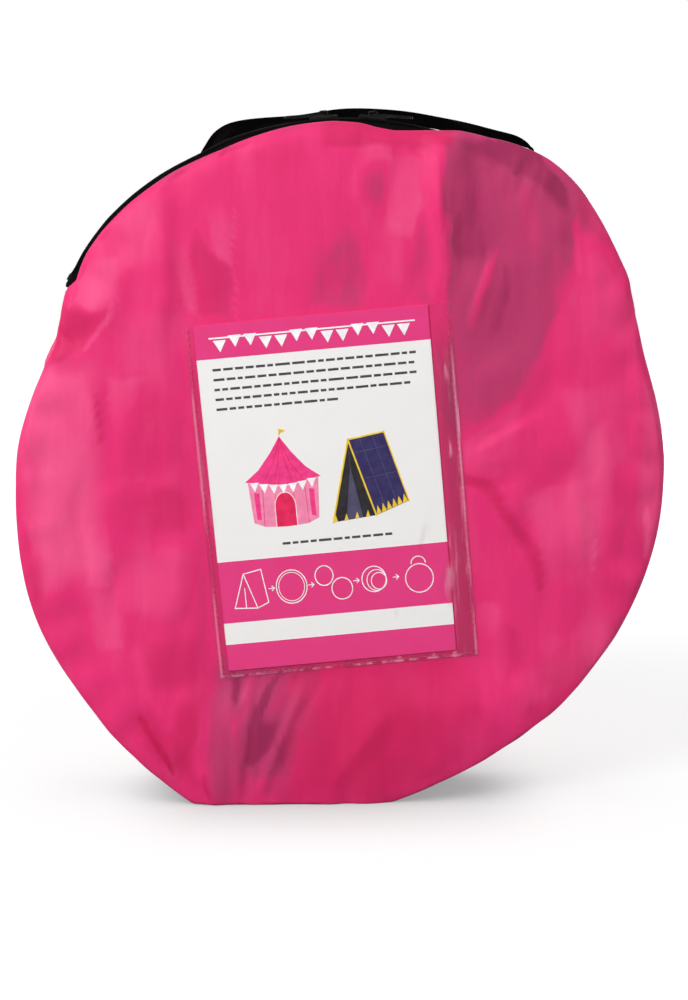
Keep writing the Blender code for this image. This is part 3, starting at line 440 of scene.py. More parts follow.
def add_piece(name, mesh, material=None):
    piece = bpy.data.objects.new(name, mesh)
    bpy.context.scene.collection.objects.link(piece)
    if material is not None:
        mesh.materials.append(material)
    return piece


def thicken(piece, thickness, offset=-1.0):
    modifier = piece.modifiers.new("thickness", "SOLIDIFY")
    modifier.thickness = thickness
    modifier.offset = offset


def save_shade(mesh, shade, name="tone_and_painted_light"):
    """Keeps a number from -1 to 1 at each point for a material: a tone, a mask, or painted highlight and
    painted shade, in part the pack showing through.
    """
    attribute = mesh.attributes.new(name, "FLOAT", "POINT")
    attribute.data.foreach_set("value", shade.astype(np.float32).ravel())


# Materials


class Recipe:
    """The nodes of one material or of one shared effect."""

    def __init__(self, tree):
        self.tree = tree

    def give(self, socket, value):
        """Links another node's output to a socket, or sets a plain value on it."""
        if isinstance(value, bpy.types.NodeSocket):
            self.tree.links.new(value, socket)
        else:
            socket.default_value = value

    def add(self, kind, inputs=None, output=0, **settings):
        """Adds a node, sets or links its inputs and returns one of its outputs."""
        node = self.tree.nodes.new(kind if kind.startswith("NodeGroup") else "ShaderNode" + kind)
        for key, value in settings.items():
            setattr(node, key, value)
        for key, value in (inputs or {}).items():
            self.give(node.inputs[key], value)
        return node.outputs[output]

    def parts(self, vector):
        """The three parts of a vector."""
        node = self.tree.nodes.new("ShaderNodeSeparateXYZ")
        self.tree.links.new(vector, node.inputs[0])
        return node.outputs

    def seen(self):
        """1 for what the camera sees, straight or by way of gloss or clear film."""
        rays = self.tree.nodes.new("ShaderNodeLightPath").outputs
        straight = self.math("MAXIMUM", rays["Is Camera Ray"], rays["Is Glossy Ray"])
        return self.math("MAXIMUM", straight, rays["Is Transmission Ray"])

    def math(self, operation, a, b=0.0, clamp=False):
        return self.add("Math", {0: a, 1: b}, operation=operation, use_clamp=clamp)

    def fit(self, value, low, high, to_low=0.0, to_high=1.0):
        inputs = {"Value": value, "From Min": low, "From Max": high, "To Min": to_low, "To Max": to_high}
        return self.add("MapRange", inputs, interpolation_type="SMOOTHSTEP")

    def mix(self, factor, a, b):
        inputs = {"Factor": factor, "A": a, "B": b}
        node = self.tree.nodes.new("ShaderNodeMix")
        node.data_type = "RGBA"
        for key, value in inputs.items():
            self.give([item for item in node.inputs if item.name == key and item.enabled][0], value)
        return [item for item in node.outputs if item.enabled][0]

    def noise(self, vector, scale, detail=2.0, roughness=0.5):
        inputs = {"Vector": vector, "Scale": scale, "Detail": detail, "Roughness": roughness}
        return self.add("TexNoise", inputs, "Fac")

    def stretch(self, vector, x, y, z, turn=0.0):
        inputs = {"Vector": vector, "Scale": (x, y, z), "Rotation": (0.0, 0.0, turn)}
        return self.add("Mapping", inputs)

    def bump(self, height, distance, strength=1.0, normal=None):
        inputs = {"Height": height, "Distance": distance, "Strength": strength}
        if normal is not None:
            inputs["Normal"] = normal
        return self.add("Bump", inputs)

    def effect(self, name, inputs, output=0):
        node = self.tree.nodes.new("ShaderNodeGroup")
        node.node_tree = EFFECTS[name]
        for key, value in inputs.items():
            self.give(node.inputs[key], value)
        return node.outputs[output]


EFFECTS = {}


def new_effect(name, inputs, outputs):
    """Starts a shared effect with named inputs and outputs. Returns its recipe, inputs and output node."""
    tree = bpy.data.node_groups.new(name, "ShaderNodeTree")
    for label, (kind, value) in inputs.items():
        socket = tree.interface.new_socket(name=label, in_out="INPUT", socket_type="NodeSocket" + kind)
        if value is not None:
            socket.default_value = value
    for label, kind in outputs.items():
        tree.interface.new_socket(name=label, in_out="OUTPUT", socket_type="NodeSocket" + kind)
    EFFECTS[name] = tree
    given = tree.nodes.new("NodeGroupInput")
    result = tree.nodes.new("NodeGroupOutput")
    return Recipe(tree), given.outputs, result.inputs


def plain_weave_effect():
    """Threads that cross over and under: a height and a mask of the warp threads."""
    recipe, given, result = new_effect(
        "plain_weave",
        {"Vector": ("Vector", None), "Thread": ("Float", 0.0004)},
        {"Height": "Float", "Warp": "Float"},
    )
    split = recipe.parts(given["Vector"])
    waves = []
    for axis in range(2):
        turns = recipe.math("DIVIDE", split[axis], given["Thread"])
        waves.append(recipe.math("SINE", recipe.math("MULTIPLY", turns, pi)))
    over = recipe.fit(recipe.math("MULTIPLY", waves[0], waves[1]), -0.2, 0.2)
    warp = recipe.math("ABSOLUTE", waves[0])
    weft = recipe.math("ABSOLUTE", waves[1])
    height = recipe.math(
        "ADD", recipe.math("MULTIPLY", warp, over),
        recipe.math("MULTIPLY", weft, recipe.math("SUBTRACT", 1.0, over))
    )
    recipe.tree.links.new(height, result["Height"])
    recipe.tree.links.new(over, result["Warp"])


def fine_creases_effect():
    """Fine broken creases that thin cloth or film keeps from being folded."""
    recipe, given, result = new_effect(
        "fine_creases",
        {"Vector": ("Vector", None), "Size": ("Float", 0.02), "Seed": ("Float", 0.0)},
        {"Height": "Float", "Crest": "Float"},
    )
    scale = recipe.math("DIVIDE", 1.0, given["Size"])
    moved = recipe.add(
        "VectorMath", {0: given["Vector"], 1: recipe.add("CombineXYZ", {"Z": given["Seed"]})}, operation="ADD"
    )
    wander = recipe.add("TexNoise", {"Vector": moved, "Scale": scale, "Detail": 2.0}, "Color")
    drift = recipe.add("VectorMath", {0: wander, "Scale": 0.012}, operation="SCALE")
    place = recipe.add("VectorMath", {0: moved, 1: drift}, operation="ADD")
    field = recipe.add("TexNoise", {"Vector": place, "Scale": scale, "Detail": 1.0, "Roughness": 0.45})
    away = recipe.math("ABSOLUTE", recipe.math("SUBTRACT", field, 0.5))
    crest = recipe.math("SUBTRACT", 1.0, recipe.fit(away, 0.0, 0.07))
    patch = recipe.fit(
        recipe.add("TexNoise", {"Vector": moved, "Scale": recipe.math("MULTIPLY", scale, 0.4)}), 0.45, 0.62
    )
    recipe.tree.links.new(recipe.math("MULTIPLY", away, 2.0), result["Height"])
    recipe.tree.links.new(recipe.math("MULTIPLY", crest, patch), result["Crest"])


def new_material(name):
    material = bpy.data.materials.new(name)
    material.use_nodes = True
    return material, Recipe(material.node_tree), material.node_tree.nodes["Principled BSDF"]


def finish_material(recipe, shader, links, values=None):
    """Links textures to the shader and sets its plain numbers on its own sockets."""
    for key, socket in links.items():
        recipe.tree.links.new(socket, shader.inputs[key])
    for key, value in (values or {}).items():
        shader.inputs[key].default_value = value


def tent_cloth(
    name, bright, plain, dull, dark, deep, thread=0.00035, roughness=0.48, sheen=0.03, creased=0.3,
    specular=0.14
):
    """Thin cloth: painted highlights, dull to dark painted shade (in part the pack showing through), deep
    painted fold shade.
    """
    material, recipe, shader = new_material(name)
    cloth = recipe.add("UVMap", uv_map="Cloth")
    # Painted highlights count below zero in the first attribute, and painted shade from dull to dark above
    # zero, in part the pack showing through; fold_shade is the deep painted shade of folds.
    shade = recipe.add("Attribute", output="Fac", attribute_name="tone_and_painted_light")
    fold = recipe.add("Attribute", output="Fac", attribute_name="fold_shade")
    # Long, nearly upright streaks of painted shade, as of hanging drapes.
    painted_drape_streaks = recipe.noise(recipe.stretch(cloth, 1.0, 0.16, 1.0, radians(-3)), 62.0, 3.0, 0.6)
    blotch = recipe.fit(
        recipe.noise(recipe.stretch(cloth, 1.0, 0.5, 1.0), 30.0, 4.0, 0.55), 0.3, 0.7, -0.10, 0.10
    )
    tone = recipe.math("ADD", recipe.math("ADD", shade, blotch), recipe.fit(painted_drape_streaks, 0.40, 0.60, -0.06, 0.06))
    base = recipe.mix(recipe.fit(tone, 0.0, 0.6), (*plain, 1.0), (*dull, 1.0))
    base = recipe.mix(recipe.fit(tone, 0.6, 1.05), base, (*dark, 1.0))
    base = recipe.mix(recipe.math("MAXIMUM", recipe.math("MULTIPLY", tone, -1.0), 0.0), base, (*bright, 1.0))
    base = recipe.mix(fold, base, (*deep, 1.0))
    # Warp threads on top are painted a little brighter: a painted sheen.
    warp = recipe.effect("plain_weave", {"Vector": cloth, "Thread": thread}, "Warp")
    base = recipe.mix(recipe.math("MULTIPLY", warp, 0.08), base, (*bright, 1.0))
    gloss = recipe.fit(recipe.noise(cloth, 60.0, 3.0), 0.3, 0.7, roughness - 0.05, roughness + 0.08)
    slim = recipe.stretch(cloth, 1.0, 0.3, 1.0, radians(6))
    folds = recipe.effect("fine_creases", {"Vector": slim, "Size": 0.016, "Seed": 2.0})
    normal = recipe.bump(folds, 0.0010, creased)
    fine = recipe.noise(recipe.stretch(cloth, 1.0, 0.45, 1.0), 190.0, 2.0)
    normal = recipe.bump(fine, 0.0004, 0.4, normal)
    weave = recipe.effect("plain_weave", {"Vector": cloth, "Thread": thread})
    normal = recipe.bump(weave, 0.00004, 0.5, normal)
    finish_material(
        recipe, shader, {"Base Color": base, "Roughness": gloss, "Normal": normal},
        {
            "Sheen Weight": sheen, "Sheen Roughness": 0.35, "Sheen Tint": (1.0, 0.72, 0.85, 1.0),
            "Specular IOR Level": specular, "Anisotropic": 0.3,
        },
    )
    return material


def webbing():
    """Black woven webbing: ribs across the strap, firm edges and a little fluff."""
    material, recipe, shader = new_material("black_webbing")
    strap = recipe.add("UVMap", uv_map="Cloth")
    split = recipe.parts(strap)
    along, across = split[0], split[1]
    rib = recipe.math("ABSOLUTE", recipe.math("SINE", recipe.math("MULTIPLY", along, pi / 0.0017)))
    rows = recipe.math("SINE", recipe.math("MULTIPLY", across, 2 * pi / 0.0031))
    herring = recipe.math(
        "SINE",
        recipe.math(
            "MULTIPLY",
            recipe.math("ADD", along, recipe.math("ABSOLUTE", recipe.math("MULTIPLY", rows, 0.0009))),
            2 * pi / 0.0017
        )
    )
    fluff = recipe.noise(strap, 900.0, 3.0)
    height = recipe.math("ADD", recipe.math("MULTIPLY", rib, 0.6), recipe.math("MULTIPLY", herring, 0.25))
    height = recipe.math("ADD", height, recipe.math("MULTIPLY", fluff, 0.3))
    wear = recipe.fit(recipe.noise(strap, 45.0, 4.0), 0.45, 0.75)
    # Rib crests are painted lighter, a painted highlight; the lighter worn patches are wear.
    light = recipe.math(
        "ADD", recipe.math("MULTIPLY", recipe.fit(height, 0.5, 1.1), 0.5), recipe.math("MULTIPLY", wear, 0.25)
    )
    base = recipe.mix(light, (0.0014, 0.0011, 0.0012, 1.0), (0.0125, 0.0100, 0.0100, 1.0))
    rough = recipe.fit(fluff, 0.3, 0.7, 0.62, 0.85)
    normal = recipe.bump(height, 0.00035, 0.9)
    finish_material(
        recipe, shader, {"Base Color": base, "Roughness": rough, "Normal": normal},
        {"Specular IOR Level": 0.0},
    )
    return material


def zip_material():
    """Satin moulded teeth in the middle of the chain, and twill tape on both sides of them."""
    material, recipe, shader = new_material("zip_teeth_and_tape")
    place = recipe.add("TexCoord", output="Object")
    split = recipe.parts(place)
    from_chain = recipe.math("ABSOLUTE", recipe.math("SUBTRACT", split[1], CHAIN_CENTRE))
    tape = recipe.fit(from_chain, TEETH_REACH, TEETH_REACH + 0.0003)
    diagonal = recipe.math("ADD", split[0], recipe.math("ADD", split[1], split[2]))
    twill = recipe.math("ABSOLUTE", recipe.math("SINE", recipe.math("MULTIPLY", diagonal, pi / 0.0008)))
    grain = recipe.noise(place, 700.0, 3.0)
    scuff = recipe.fit(recipe.noise(place, 160.0, 4.0), 0.52, 0.75)
    plastic = recipe.mix(scuff, (0.003, 0.003, 0.0032, 1.0), (0.012, 0.012, 0.0125, 1.0))
    # The twill's ridges are painted lighter, a painted highlight.
    woven = recipe.mix(twill, (0.0010, 0.0009, 0.0010, 1.0), (0.0050, 0.0043, 0.0046, 1.0))
    base = recipe.mix(tape, plastic, woven)
    rough = recipe.math("ADD", recipe.fit(tape, 0.0, 1.0, 0.3, 0.74), recipe.math("MULTIPLY", grain, 0.1))
    height = recipe.math(
        "ADD", recipe.math("MULTIPLY", recipe.math("MULTIPLY", twill, tape), 1.0),
        recipe.math("MULTIPLY", grain, 0.35)
    )
    normal = recipe.bump(height, 0.00012, 0.8)
    finish_material(
        recipe, shader, {"Base Color": base, "Roughness": rough, "Normal": normal},
        {"Specular IOR Level": 0.02}
    )
    return material


def bright_metal(name, colour, roughness, scratch=0.25, metallic=1.0, specular=0.5):
    """Plated metal with fine scratches and a duller film in places."""
    material, recipe, shader = new_material(name)
    place = recipe.add("TexCoord", output="Object")
    long_marks = recipe.noise(recipe.stretch(place, 60.0, 900.0, 900.0), 1.0, 4.0, 0.6)
    cross_marks = recipe.noise(recipe.stretch(place, 1100.0, 80.0, 1100.0), 1.0, 3.0, 0.6)
    marks = recipe.math("MAXIMUM", recipe.fit(long_marks, 0.6, 0.72), recipe.fit(cross_marks, 0.62, 0.74))
    film = recipe.noise(place, 240.0, 3.0)
    base = recipe.mix(
        recipe.fit(film, 0.3, 0.75), (*colour, 1.0), tuple(part * 0.78 for part in colour) + (1.0,)
    )
    base = recipe.mix(recipe.math("MULTIPLY", marks, scratch), base, (0.86, 0.86, 0.87, 1.0))
    rough = recipe.math(
        "ADD", recipe.fit(film, 0.3, 0.7, roughness, roughness + 0.12), recipe.math("MULTIPLY", marks, 0.15)
    )
    normal = recipe.bump(recipe.math("ADD", marks, recipe.math("MULTIPLY", film, 0.5)), 0.00002, 0.6)
    constants = {"Metallic": metallic, "Specular IOR Level": specular}
    finish_material(recipe, shader, {"Base Color": base, "Roughness": rough, "Normal": normal}, constants)
    return material


def tube_plastic():
    """White tube with a faint drawn grain and grey rub marks."""
    material, recipe, shader = new_material("white_tube")
    place = recipe.add("TexCoord", output="Object")
    grain = recipe.noise(recipe.stretch(place, 12.0, 700.0, 700.0), 1.0, 3.0)
    rub = recipe.fit(recipe.noise(place, 70.0, 5.0, 0.65), 0.58, 0.75)
    base = recipe.mix(recipe.math("MULTIPLY", rub, 0.5), (0.80, 0.80, 0.78, 1.0), (0.52, 0.52, 0.50, 1.0))
    rough = recipe.fit(grain, 0.3, 0.7, 0.32, 0.5)
    normal = recipe.bump(grain, 0.00005, 0.5)
    finish_material(recipe, shader, {"Base Color": base, "Roughness": rough, "Normal": normal})
    return material


def thread_material(name, colour):
    """Twisted sewing thread."""
    material, recipe, shader = new_material(name)
    place = recipe.add("TexCoord", output="Object")
    fuzz = recipe.noise(place, 2600.0, 2.0)
    base = recipe.mix(fuzz, tuple(part * 0.7 for part in colour) + (1.0,), (*colour, 1.0))
    normal = recipe.bump(fuzz, 0.00008, 0.7)
    finish_material(
        recipe, shader, {"Base Color": base, "Normal": normal}, {"Roughness": 0.6, "Sheen Weight": 0.2}
    )
    return material


# Printed bands of the card, from its foot to its head: where each ends, and whether it is pink
CARD_BANDS = ((0.077, True), (0.140, False), (0.320, True), (0.902, False), (1.0, True))


def card_print():
    """Coated card with plain pink bands across it, slightly uneven ink and a faint paper grain."""
    material, recipe, shader = new_material("printed_card")
    sheet = recipe.add("UVMap", uv_map="Cloth")
    split = recipe.parts(sheet)
    up = recipe.math("DIVIDE", split[1], CARD_HEIGHT)
    pink = 1.0
    for end, above_is_white in CARD_BANDS[:-1]:
        passed = recipe.math("GREATER_THAN", up, end)
        step = -1.0 if above_is_white else 1.0
        pink = recipe.math("ADD", pink, recipe.math("MULTIPLY", passed, step))
    ink = recipe.noise(sheet, 55.0, 4.0)
    grain = recipe.noise(sheet, 1500.0, 3.0)
    rose = recipe.mix(ink, (0.74, 0.035, 0.19, 1.0), (0.80, 0.05, 0.235, 1.0))
    paper = recipe.mix(ink, (0.86, 0.855, 0.83, 1.0), (0.90, 0.90, 0.885, 1.0))
    base = recipe.mix(pink, paper, rose)
    rough = recipe.fit(grain, 0.3, 0.7, 0.3, 0.42)
    normal = recipe.bump(grain, 0.00002, 0.4)
    finish_material(
        recipe, shader, {"Base Color": base, "Roughness": rough, "Normal": normal},
        {"Specular IOR Level": 0.3}
    )
    return material


def ink_material(name, colour):
    material, recipe, shader = new_material(name)
    place = recipe.add("TexCoord", output="Object")
    patch = recipe.noise(place, 220.0, 3.0)
    base = recipe.mix(
        recipe.fit(patch, 0.3, 0.7), (*colour, 1.0),
        tuple(min(1.0, part * 1.18 + 0.01) for part in colour) + (1.0,)
    )
    finish_material(recipe, shader, {"Base Color": base}, {"Roughness": 0.4, "Specular IOR Level": 0.2})
    return material


def clear_film():
    """Clear soft film: whitish painted highlights at its creases and welds, in part the film's own whitening,
    and painted glare.
    """
    material, recipe, shader = new_material("clear_film")
    film = recipe.add("UVMap", uv_map="Cloth")
    margin = recipe.add("Attribute", output="Fac", attribute_name="tone_and_painted_light")
    weld = recipe.add("Attribute", output="Fac", attribute_name="fold_shade")
    long_marks = recipe.noise(recipe.stretch(film, 150.0, 14.0, 1.0, radians(4)), 1.0, 3.0, 0.55)
    ticks = recipe.noise(recipe.stretch(film, 170.0, 30.0, 1.0, radians(-42)), 1.0, 2.0, 0.5)
    # Painted glare: a painted reflection of the lamps in streaky patches.
    glare = recipe.noise(recipe.stretch(film, 62.0, 20.0, 1.0, radians(-40)), 1.0, 3.0, 0.5)
    glare = recipe.math(
        "MULTIPLY", recipe.fit(glare, 0.50, 0.70),
        recipe.add("Attribute", output="Fac", attribute_name="glare_shade")
    )
    # Painted highlights along the crinkles and welds, in part the film's own whitening where it is creased.
    light = recipe.math(
        "MAXIMUM", recipe.fit(long_marks, 0.56, 0.74),
        recipe.math("MULTIPLY", recipe.fit(ticks, 0.62, 0.74), 0.7)
    )
    light = recipe.math("MAXIMUM", recipe.math("MULTIPLY", light, margin), glare)
    light = recipe.math("MAXIMUM", light, recipe.math("MULTIPLY", weld, recipe.fit(long_marks, 0.40, 0.60)))
    veil = recipe.math("ADD", 0.006, recipe.math("MULTIPLY", margin, 0.20))
    veil = recipe.math("ADD", veil, recipe.math("MULTIPLY", glare, 0.16))
    veil = recipe.math("ADD", veil, recipe.math("MULTIPLY", light, 0.14), clamp=True)
    tint = recipe.mix(light, (0.34, 0.055, 0.135, 1.0), (0.95, 0.50, 0.68, 1.0))
    height = recipe.effect("fine_creases", {"Vector": film, "Size": 0.011, "Seed": 3.0})
    normal = recipe.bump(height, 0.0012, 0.6)
    finish_material(
        recipe, shader, {"Base Color": tint, "Alpha": veil, "Normal": normal},
        {"Roughness": 0.2, "Specular IOR Level": 0.3},
    )
    return material


def floor_material():
    """White paper with a contact shadow painted near the bag, besides the lamps' real shadows; plain white
    further off.
    """
    material, recipe, shader = new_material("white_paper")
    seen = recipe.seen()
    place = recipe.add("TexCoord", output="Object")
    away = recipe.add("VectorMath", {0: place}, "Value", operation="LENGTH")
    open_sky = recipe.add("AmbientOcclusion", {"Distance": PAINTED_SHADOW_REACH}, "AO", samples=12)
    split = recipe.parts(place)
    aside = recipe.fit(
        recipe.math("ABSOLUTE", recipe.math("ADD", split[0], 0.008)), 0.085, 0.150, 0.0, 0.72
    )
    # Painted contact shadow: darker where the bag hides the sky, weaker to the sides; it darkens both glow
    # and paper.
    painted_contact_shadow = recipe.fit(open_sky, 0.15, 0.98, 0.42, 1.0)
    painted_contact_shadow = recipe.math(
        "ADD", painted_contact_shadow, recipe.math("MULTIPLY", recipe.math("SUBTRACT", 1.0, painted_contact_shadow), aside)
    )
    glow = recipe.math("MULTIPLY", seen, recipe.fit(away, 0.25, 1.1, NEAR_GLOW, 1.0))
    glow = recipe.math("MULTIPLY", glow, painted_contact_shadow)
    paper = recipe.mix(painted_contact_shadow, (0.02, 0.019, 0.02, 1.0), (0.26, 0.26, 0.26, 1.0))
    finish_material(
        recipe, shader, {"Base Color": paper, "Emission Color": glow},
        {"Roughness": 1.0, "Specular IOR Level": 0.0, "Emission Strength": 1.0},
    )
    return material


plain_weave_effect()
fine_creases_effect()
# Cloth colours: bright is painted highlight, dull and dark are painted shade (dull in part the pack showing
# through) and deep is painted fold shade.
PINK = tent_cloth(
    "pink_cloth", (0.85, 0.098, 0.262), (0.765, 0.026, 0.162), (0.47, 0.036, 0.132), (0.30, 0.018, 0.082),
    (0.55, 0.009, 0.078),
)
BLACK = tent_cloth(
    "black_cloth", (0.012, 0.010, 0.011), (0.0040, 0.0034, 0.0036), (0.003, 0.0026, 0.0028),
    (0.002, 0.0017, 0.0018), (0.002, 0.0017, 0.0018), roughness=0.6, sheen=0.0, creased=0.5, specular=0.008,
)
PALE = tent_cloth(
    "pale_cloth", (0.93, 0.50, 0.66), (0.88, 0.40, 0.56), (0.70, 0.24, 0.40), (0.60, 0.18, 0.32),
    (0.62, 0.16, 0.30), roughness=0.52, creased=0.8,
)
WHITE = tent_cloth(
    "white_cloth", (0.86, 0.85, 0.86), (0.78, 0.77, 0.78), (0.58, 0.56, 0.58), (0.48, 0.46, 0.48),
    (0.50, 0.48, 0.50), roughness=0.4, creased=0.8,
)
WEBBING = webbing()
ZIP = zip_material()
CHROME = bright_metal("bright_metal", (0.62, 0.62, 0.63), 0.2)
LACQUER = bright_metal("black_lacquer", (0.0035, 0.0032, 0.0035), 0.34, 0.03, 0.0, 0.10)
SPRING = bright_metal("spring_steel", (0.40, 0.41, 0.43), 0.32, 0.15)
TUBE = tube_plastic()
PINK_THREAD = thread_material("pink_thread", (0.80, 0.03, 0.20))
BLACK_THREAD = thread_material("black_thread", (0.015, 0.014, 0.0155))
CARD = card_print()
FILM = clear_film()


# The bag's cloth


def face_grid(row_shares, side, tuck):
    """The smooth form of a face of the bag: a grid of points from its middle to its seam."""
    shares = np.array(smooth_route(row_shares, ROW_STEPS))
    shares[:, 0] = np.clip(shares[:, 0], 0.0006, 1.0)
    shares[:, 1:] = np.clip(shares[:, 1:], 0.0, 1.0)
    angles = 2 * pi * np.arange(FACE_COLUMNS) / FACE_COLUMNS
    rim = np.array([rim_radius(angle) - (front_pull(angle) if side < 0 else 0.0) for angle in angles])
    swell = np.array([shoulder_puff(angle) for angle in angles]) * (side < 0)
    edge_tuck = np.array([tuck(angle) for angle in angles])
    radius = shares[:, :1] * rim[None, :] + shares[:, 1:2] * swell[None, :]
    radius -= edge_tuck[None, :] * smooth_step(shares[:, :1], 0.93, 1.0)
    depth = np.repeat(side * (FACE_DEPTH - CROWN * shares[:, 2:3]), FACE_COLUMNS, axis=1)
    return shares, angles, radius, depth


def face_cloth(
    name, row_shares, side, facets, creases, seed, tuck, over_pocket, clear, swells=((0, 0), (360, 0)),
    belly=0.0
):
    """One face of the bag as slack cloth. clear keeps the relief from dipping further than that."""
    shares, angles, radius, depth = face_grid(row_shares, side, tuck)
    x = radius * np.cos(angles)[None, :]
    z = AXIS_HEIGHT + radius * np.sin(angles)[None, :]
    share = shares[:, 0]
    relief = cloth_relief(x * -side, z, facets, creases, seed) + rim_puckers(angles, share, seed)
    relief = np.where(relief < 0, -clear * np.tanh(-relief / clear), relief)
    if over_pocket:
        free = outside_pocket(x, z)
        relief = relief * free
        low = np.minimum(0.5 * relief - 0.0016 * free, -0.0001)
        relief = relief + card_way(x, z) * (low - relief)
    hem = 1 - smooth_step(share, 0.975, 1.0)
    relief = relief * hem[:, None]
    lean = shares[:, 2:3]
    depth = depth + side * relief * (1 - 0.5 * lean)
    edge = smooth_step(share, 0.80, 0.97) * (1 - smooth_step(share, 0.994, 1.0))
    swell = at_angle(swells, angles)
    low = smooth_step(-np.sin(angles), 0.50, 0.93)
    sag = smooth_step(share, 0.55, 0.93) * (1 - smooth_step(share, 0.985, 1.0))
    fall = belly * sag[:, None] * low[None, :] * (outside_pocket(x, z, 0.03) if over_pocket else 1.0)
    depth = depth + side * fall
    out = relief * 0.15 * lean + swell[None, :] * edge[:, None] + 0.7 * fall
    x = x + out * np.cos(angles)[None, :]
    z = np.maximum(z + out * np.sin(angles)[None, :], 0.0002 + 0.0008 * (1 - share[:, None]))
    points = np.stack([x, depth, z], axis=-1)
    uv = np.stack([x, z], axis=-1)
    mesh = grid_mesh(name, points, uv, closed=True, flip=side > 0)
    return mesh


# Stretches of the front, in millimetres: corner points, how soft the edge is, how strong it is and, for some,
# where its fade starts and ends. Above zero they are painted shade, dull to dark, in part the pack showing
# through the thin cloth. Below zero they are painted highlights where the cloth stands free.
FRONT_SHADES = (
    (((57, 404), (84, 411), (112, 404), (131, 381), (137, 337), (122, 294), (101, 253), (67, 227), (58, 240),
     (60, 315)), 6, 0.46),
    (((57, 404), (84, 411), (112, 404), (140, 376), (170, 320), (160, 290), (137, 320), (112, 330),
     (60, 340)), 10, 0.26, (70, 360, 190, 350)),
    (((60, 396), (78, 400), (80, 330), (70, 250), (61, 300)), 10, 0.12),
    (((92, 336), (108, 330), (102, 282), (78, 240), (72, 262)), 10, 0.14),
    (((86, 382), (112, 382), (114, 340), (92, 336)), 12, -0.12),
    (((22, 396), (45, 398), (44, 370), (37, 350), (25, 352)), 5, -0.56, (30, 360, 36, 412)),
    (((9, 404), (26, 404), (25, 393), (10, 393)), 5, -0.36),
    (((18, 362), (42, 360), (34, 322), (14, 326)), 10, -0.20),
    (((6, 388), (20, 388), (19, 374), (8, 374)), 6, 0.30),
    (((-16, 346), (8, 352), (12, 309), (-26, 309)), 10, 0.30),
    (((-12, 374), (6, 378), (8, 340), (-14, 340)), 9, 0.13),
    (((30, 362), (48, 362), (50, 310), (32, 310)), 8, 0.26),
    (((122, 344), (136, 344), (138, 312), (124, 312)), 8, -0.14),
    (((-30, 66), (-18, 64), (-17, 42), (-29, 42)), 6, 0.28),
    (((-83, 83), (-69, 84), (-68, 66), (-82, 66)), 5, 0.20),
    (((141, 191), (155, 188), (156, 156), (142, 156)), 6, -0.20),
    (((-85, 364), (-74, 367), (-70, 356), (-70, 335), (-77, 337), (-83, 348)), 4, -0.55,
     (-74, 335, -82, 372)),
    (((-91, 356), (-85, 345), (-71, 332), (-72, 304), (-91, 304), (-96, 340)), 4, 0.16),
    (((-108, 354), (-95, 356), (-91, 305), (-99, 310)), 4, -0.40, (-94, 310, -104, 362)),
    (((-148, 367), (-109, 374), (-115, 340), (-138, 327), (-151, 337)), 11, -0.30),
    (((-160, 341), (-139, 338), (-140, 314), (-155, 308), (-167, 312)), 5, -0.62, (-146, 320, -166, 342)),
    (((-145, 266), (-125, 268), (-132, 250), (-140, 214), (-145, 214)), 4, -0.42, (-142, 262, -126, 240)),
    (((-198, 276), (-156, 276), (-152, 214), (-158, 150), (-186, 138), (-198, 180)), 15, -0.66),
    (((-163, 178), (-147, 178), (-146, 139), (-160, 139)), 4, -0.50, (-150, 150, -160, 186)),
    (((-148, 158), (-100, 158), (-104, 120), (-140, 120)), 14, -0.34),
    (((-162, 137), (-144, 137), (-140, 100), (-158, 102)), 10, -0.34),
    (((-138, 306), (-104, 300), (-110, 262), (-138, 270)), 16, -0.24),
    (((-64, 352), (-30, 356), (-32, 326), (-62, 324)), 16, -0.06),
    (((147, 232), (155, 238), (161, 206), (164, 182), (149, 135), (123, 140), (109, 192), (133, 204)), 7,
     -0.36, (130, 200, 150, 120)),
    (((128, 256), (162, 262), (170, 216), (150, 204)), 12, -0.30),
    (((135, 205), (155, 212), (158, 180), (142, 156), (128, 180)), 8, -0.20),
    (((82, 126), (94, 126), (93, 111), (86, 97), (72, 96), (73, 111)), 4, -0.30, (90, 124, 74, 96)),
    (((134, 342), (156, 340), (166, 290), (138, 290)), 14, -0.16),
    (((60, 226), (104, 250), (92, 208), (62, 210)), 10, -0.16),
    (((180, 264), (198, 250), (202, 190), (188, 150), (178, 190)), 10, -0.34),
    (((108, 60), (160, 88), (176, 116), (150, 120), (110, 84)), 14, -0.26),
    (((-88, 92), (-15, 92), (-24, 66), (-36, 40), (-42, 2), (-86, 2), (-90, 40)), 10, 0.30),
    (((-73, 86), (-18, 91), (-26, 67), (-36, 48), (-36, 34), (-40, 19), (-56, 17), (-67, 22), (-67, 48),
     (-72, 60)), 7, 0.24),
    (((-65, 50), (-56, 58), (-42, 54), (-44, 42), (-54, 30), (-62, 24), (-67, 30)), 6, 0.40),
    (((-48, 38), (-40, 46), (-26, 62), (-32, 46), (-36, 32), (-40, 17), (-48, 18)), 6, 0.40,
     (-40, 40, -42, 8)),
    (((-73, 83), (-67, 83), (-68, 61), (-74, 61)), 4, 0.20),
    (((-84, 74), (-74, 78), (-70, 30), (-82, 12), (-88, 40)), 7, 0.16),
    (((-96, 240), (-90, 240), (-88, 96), (-94, 96)), 5, 0.14),
)
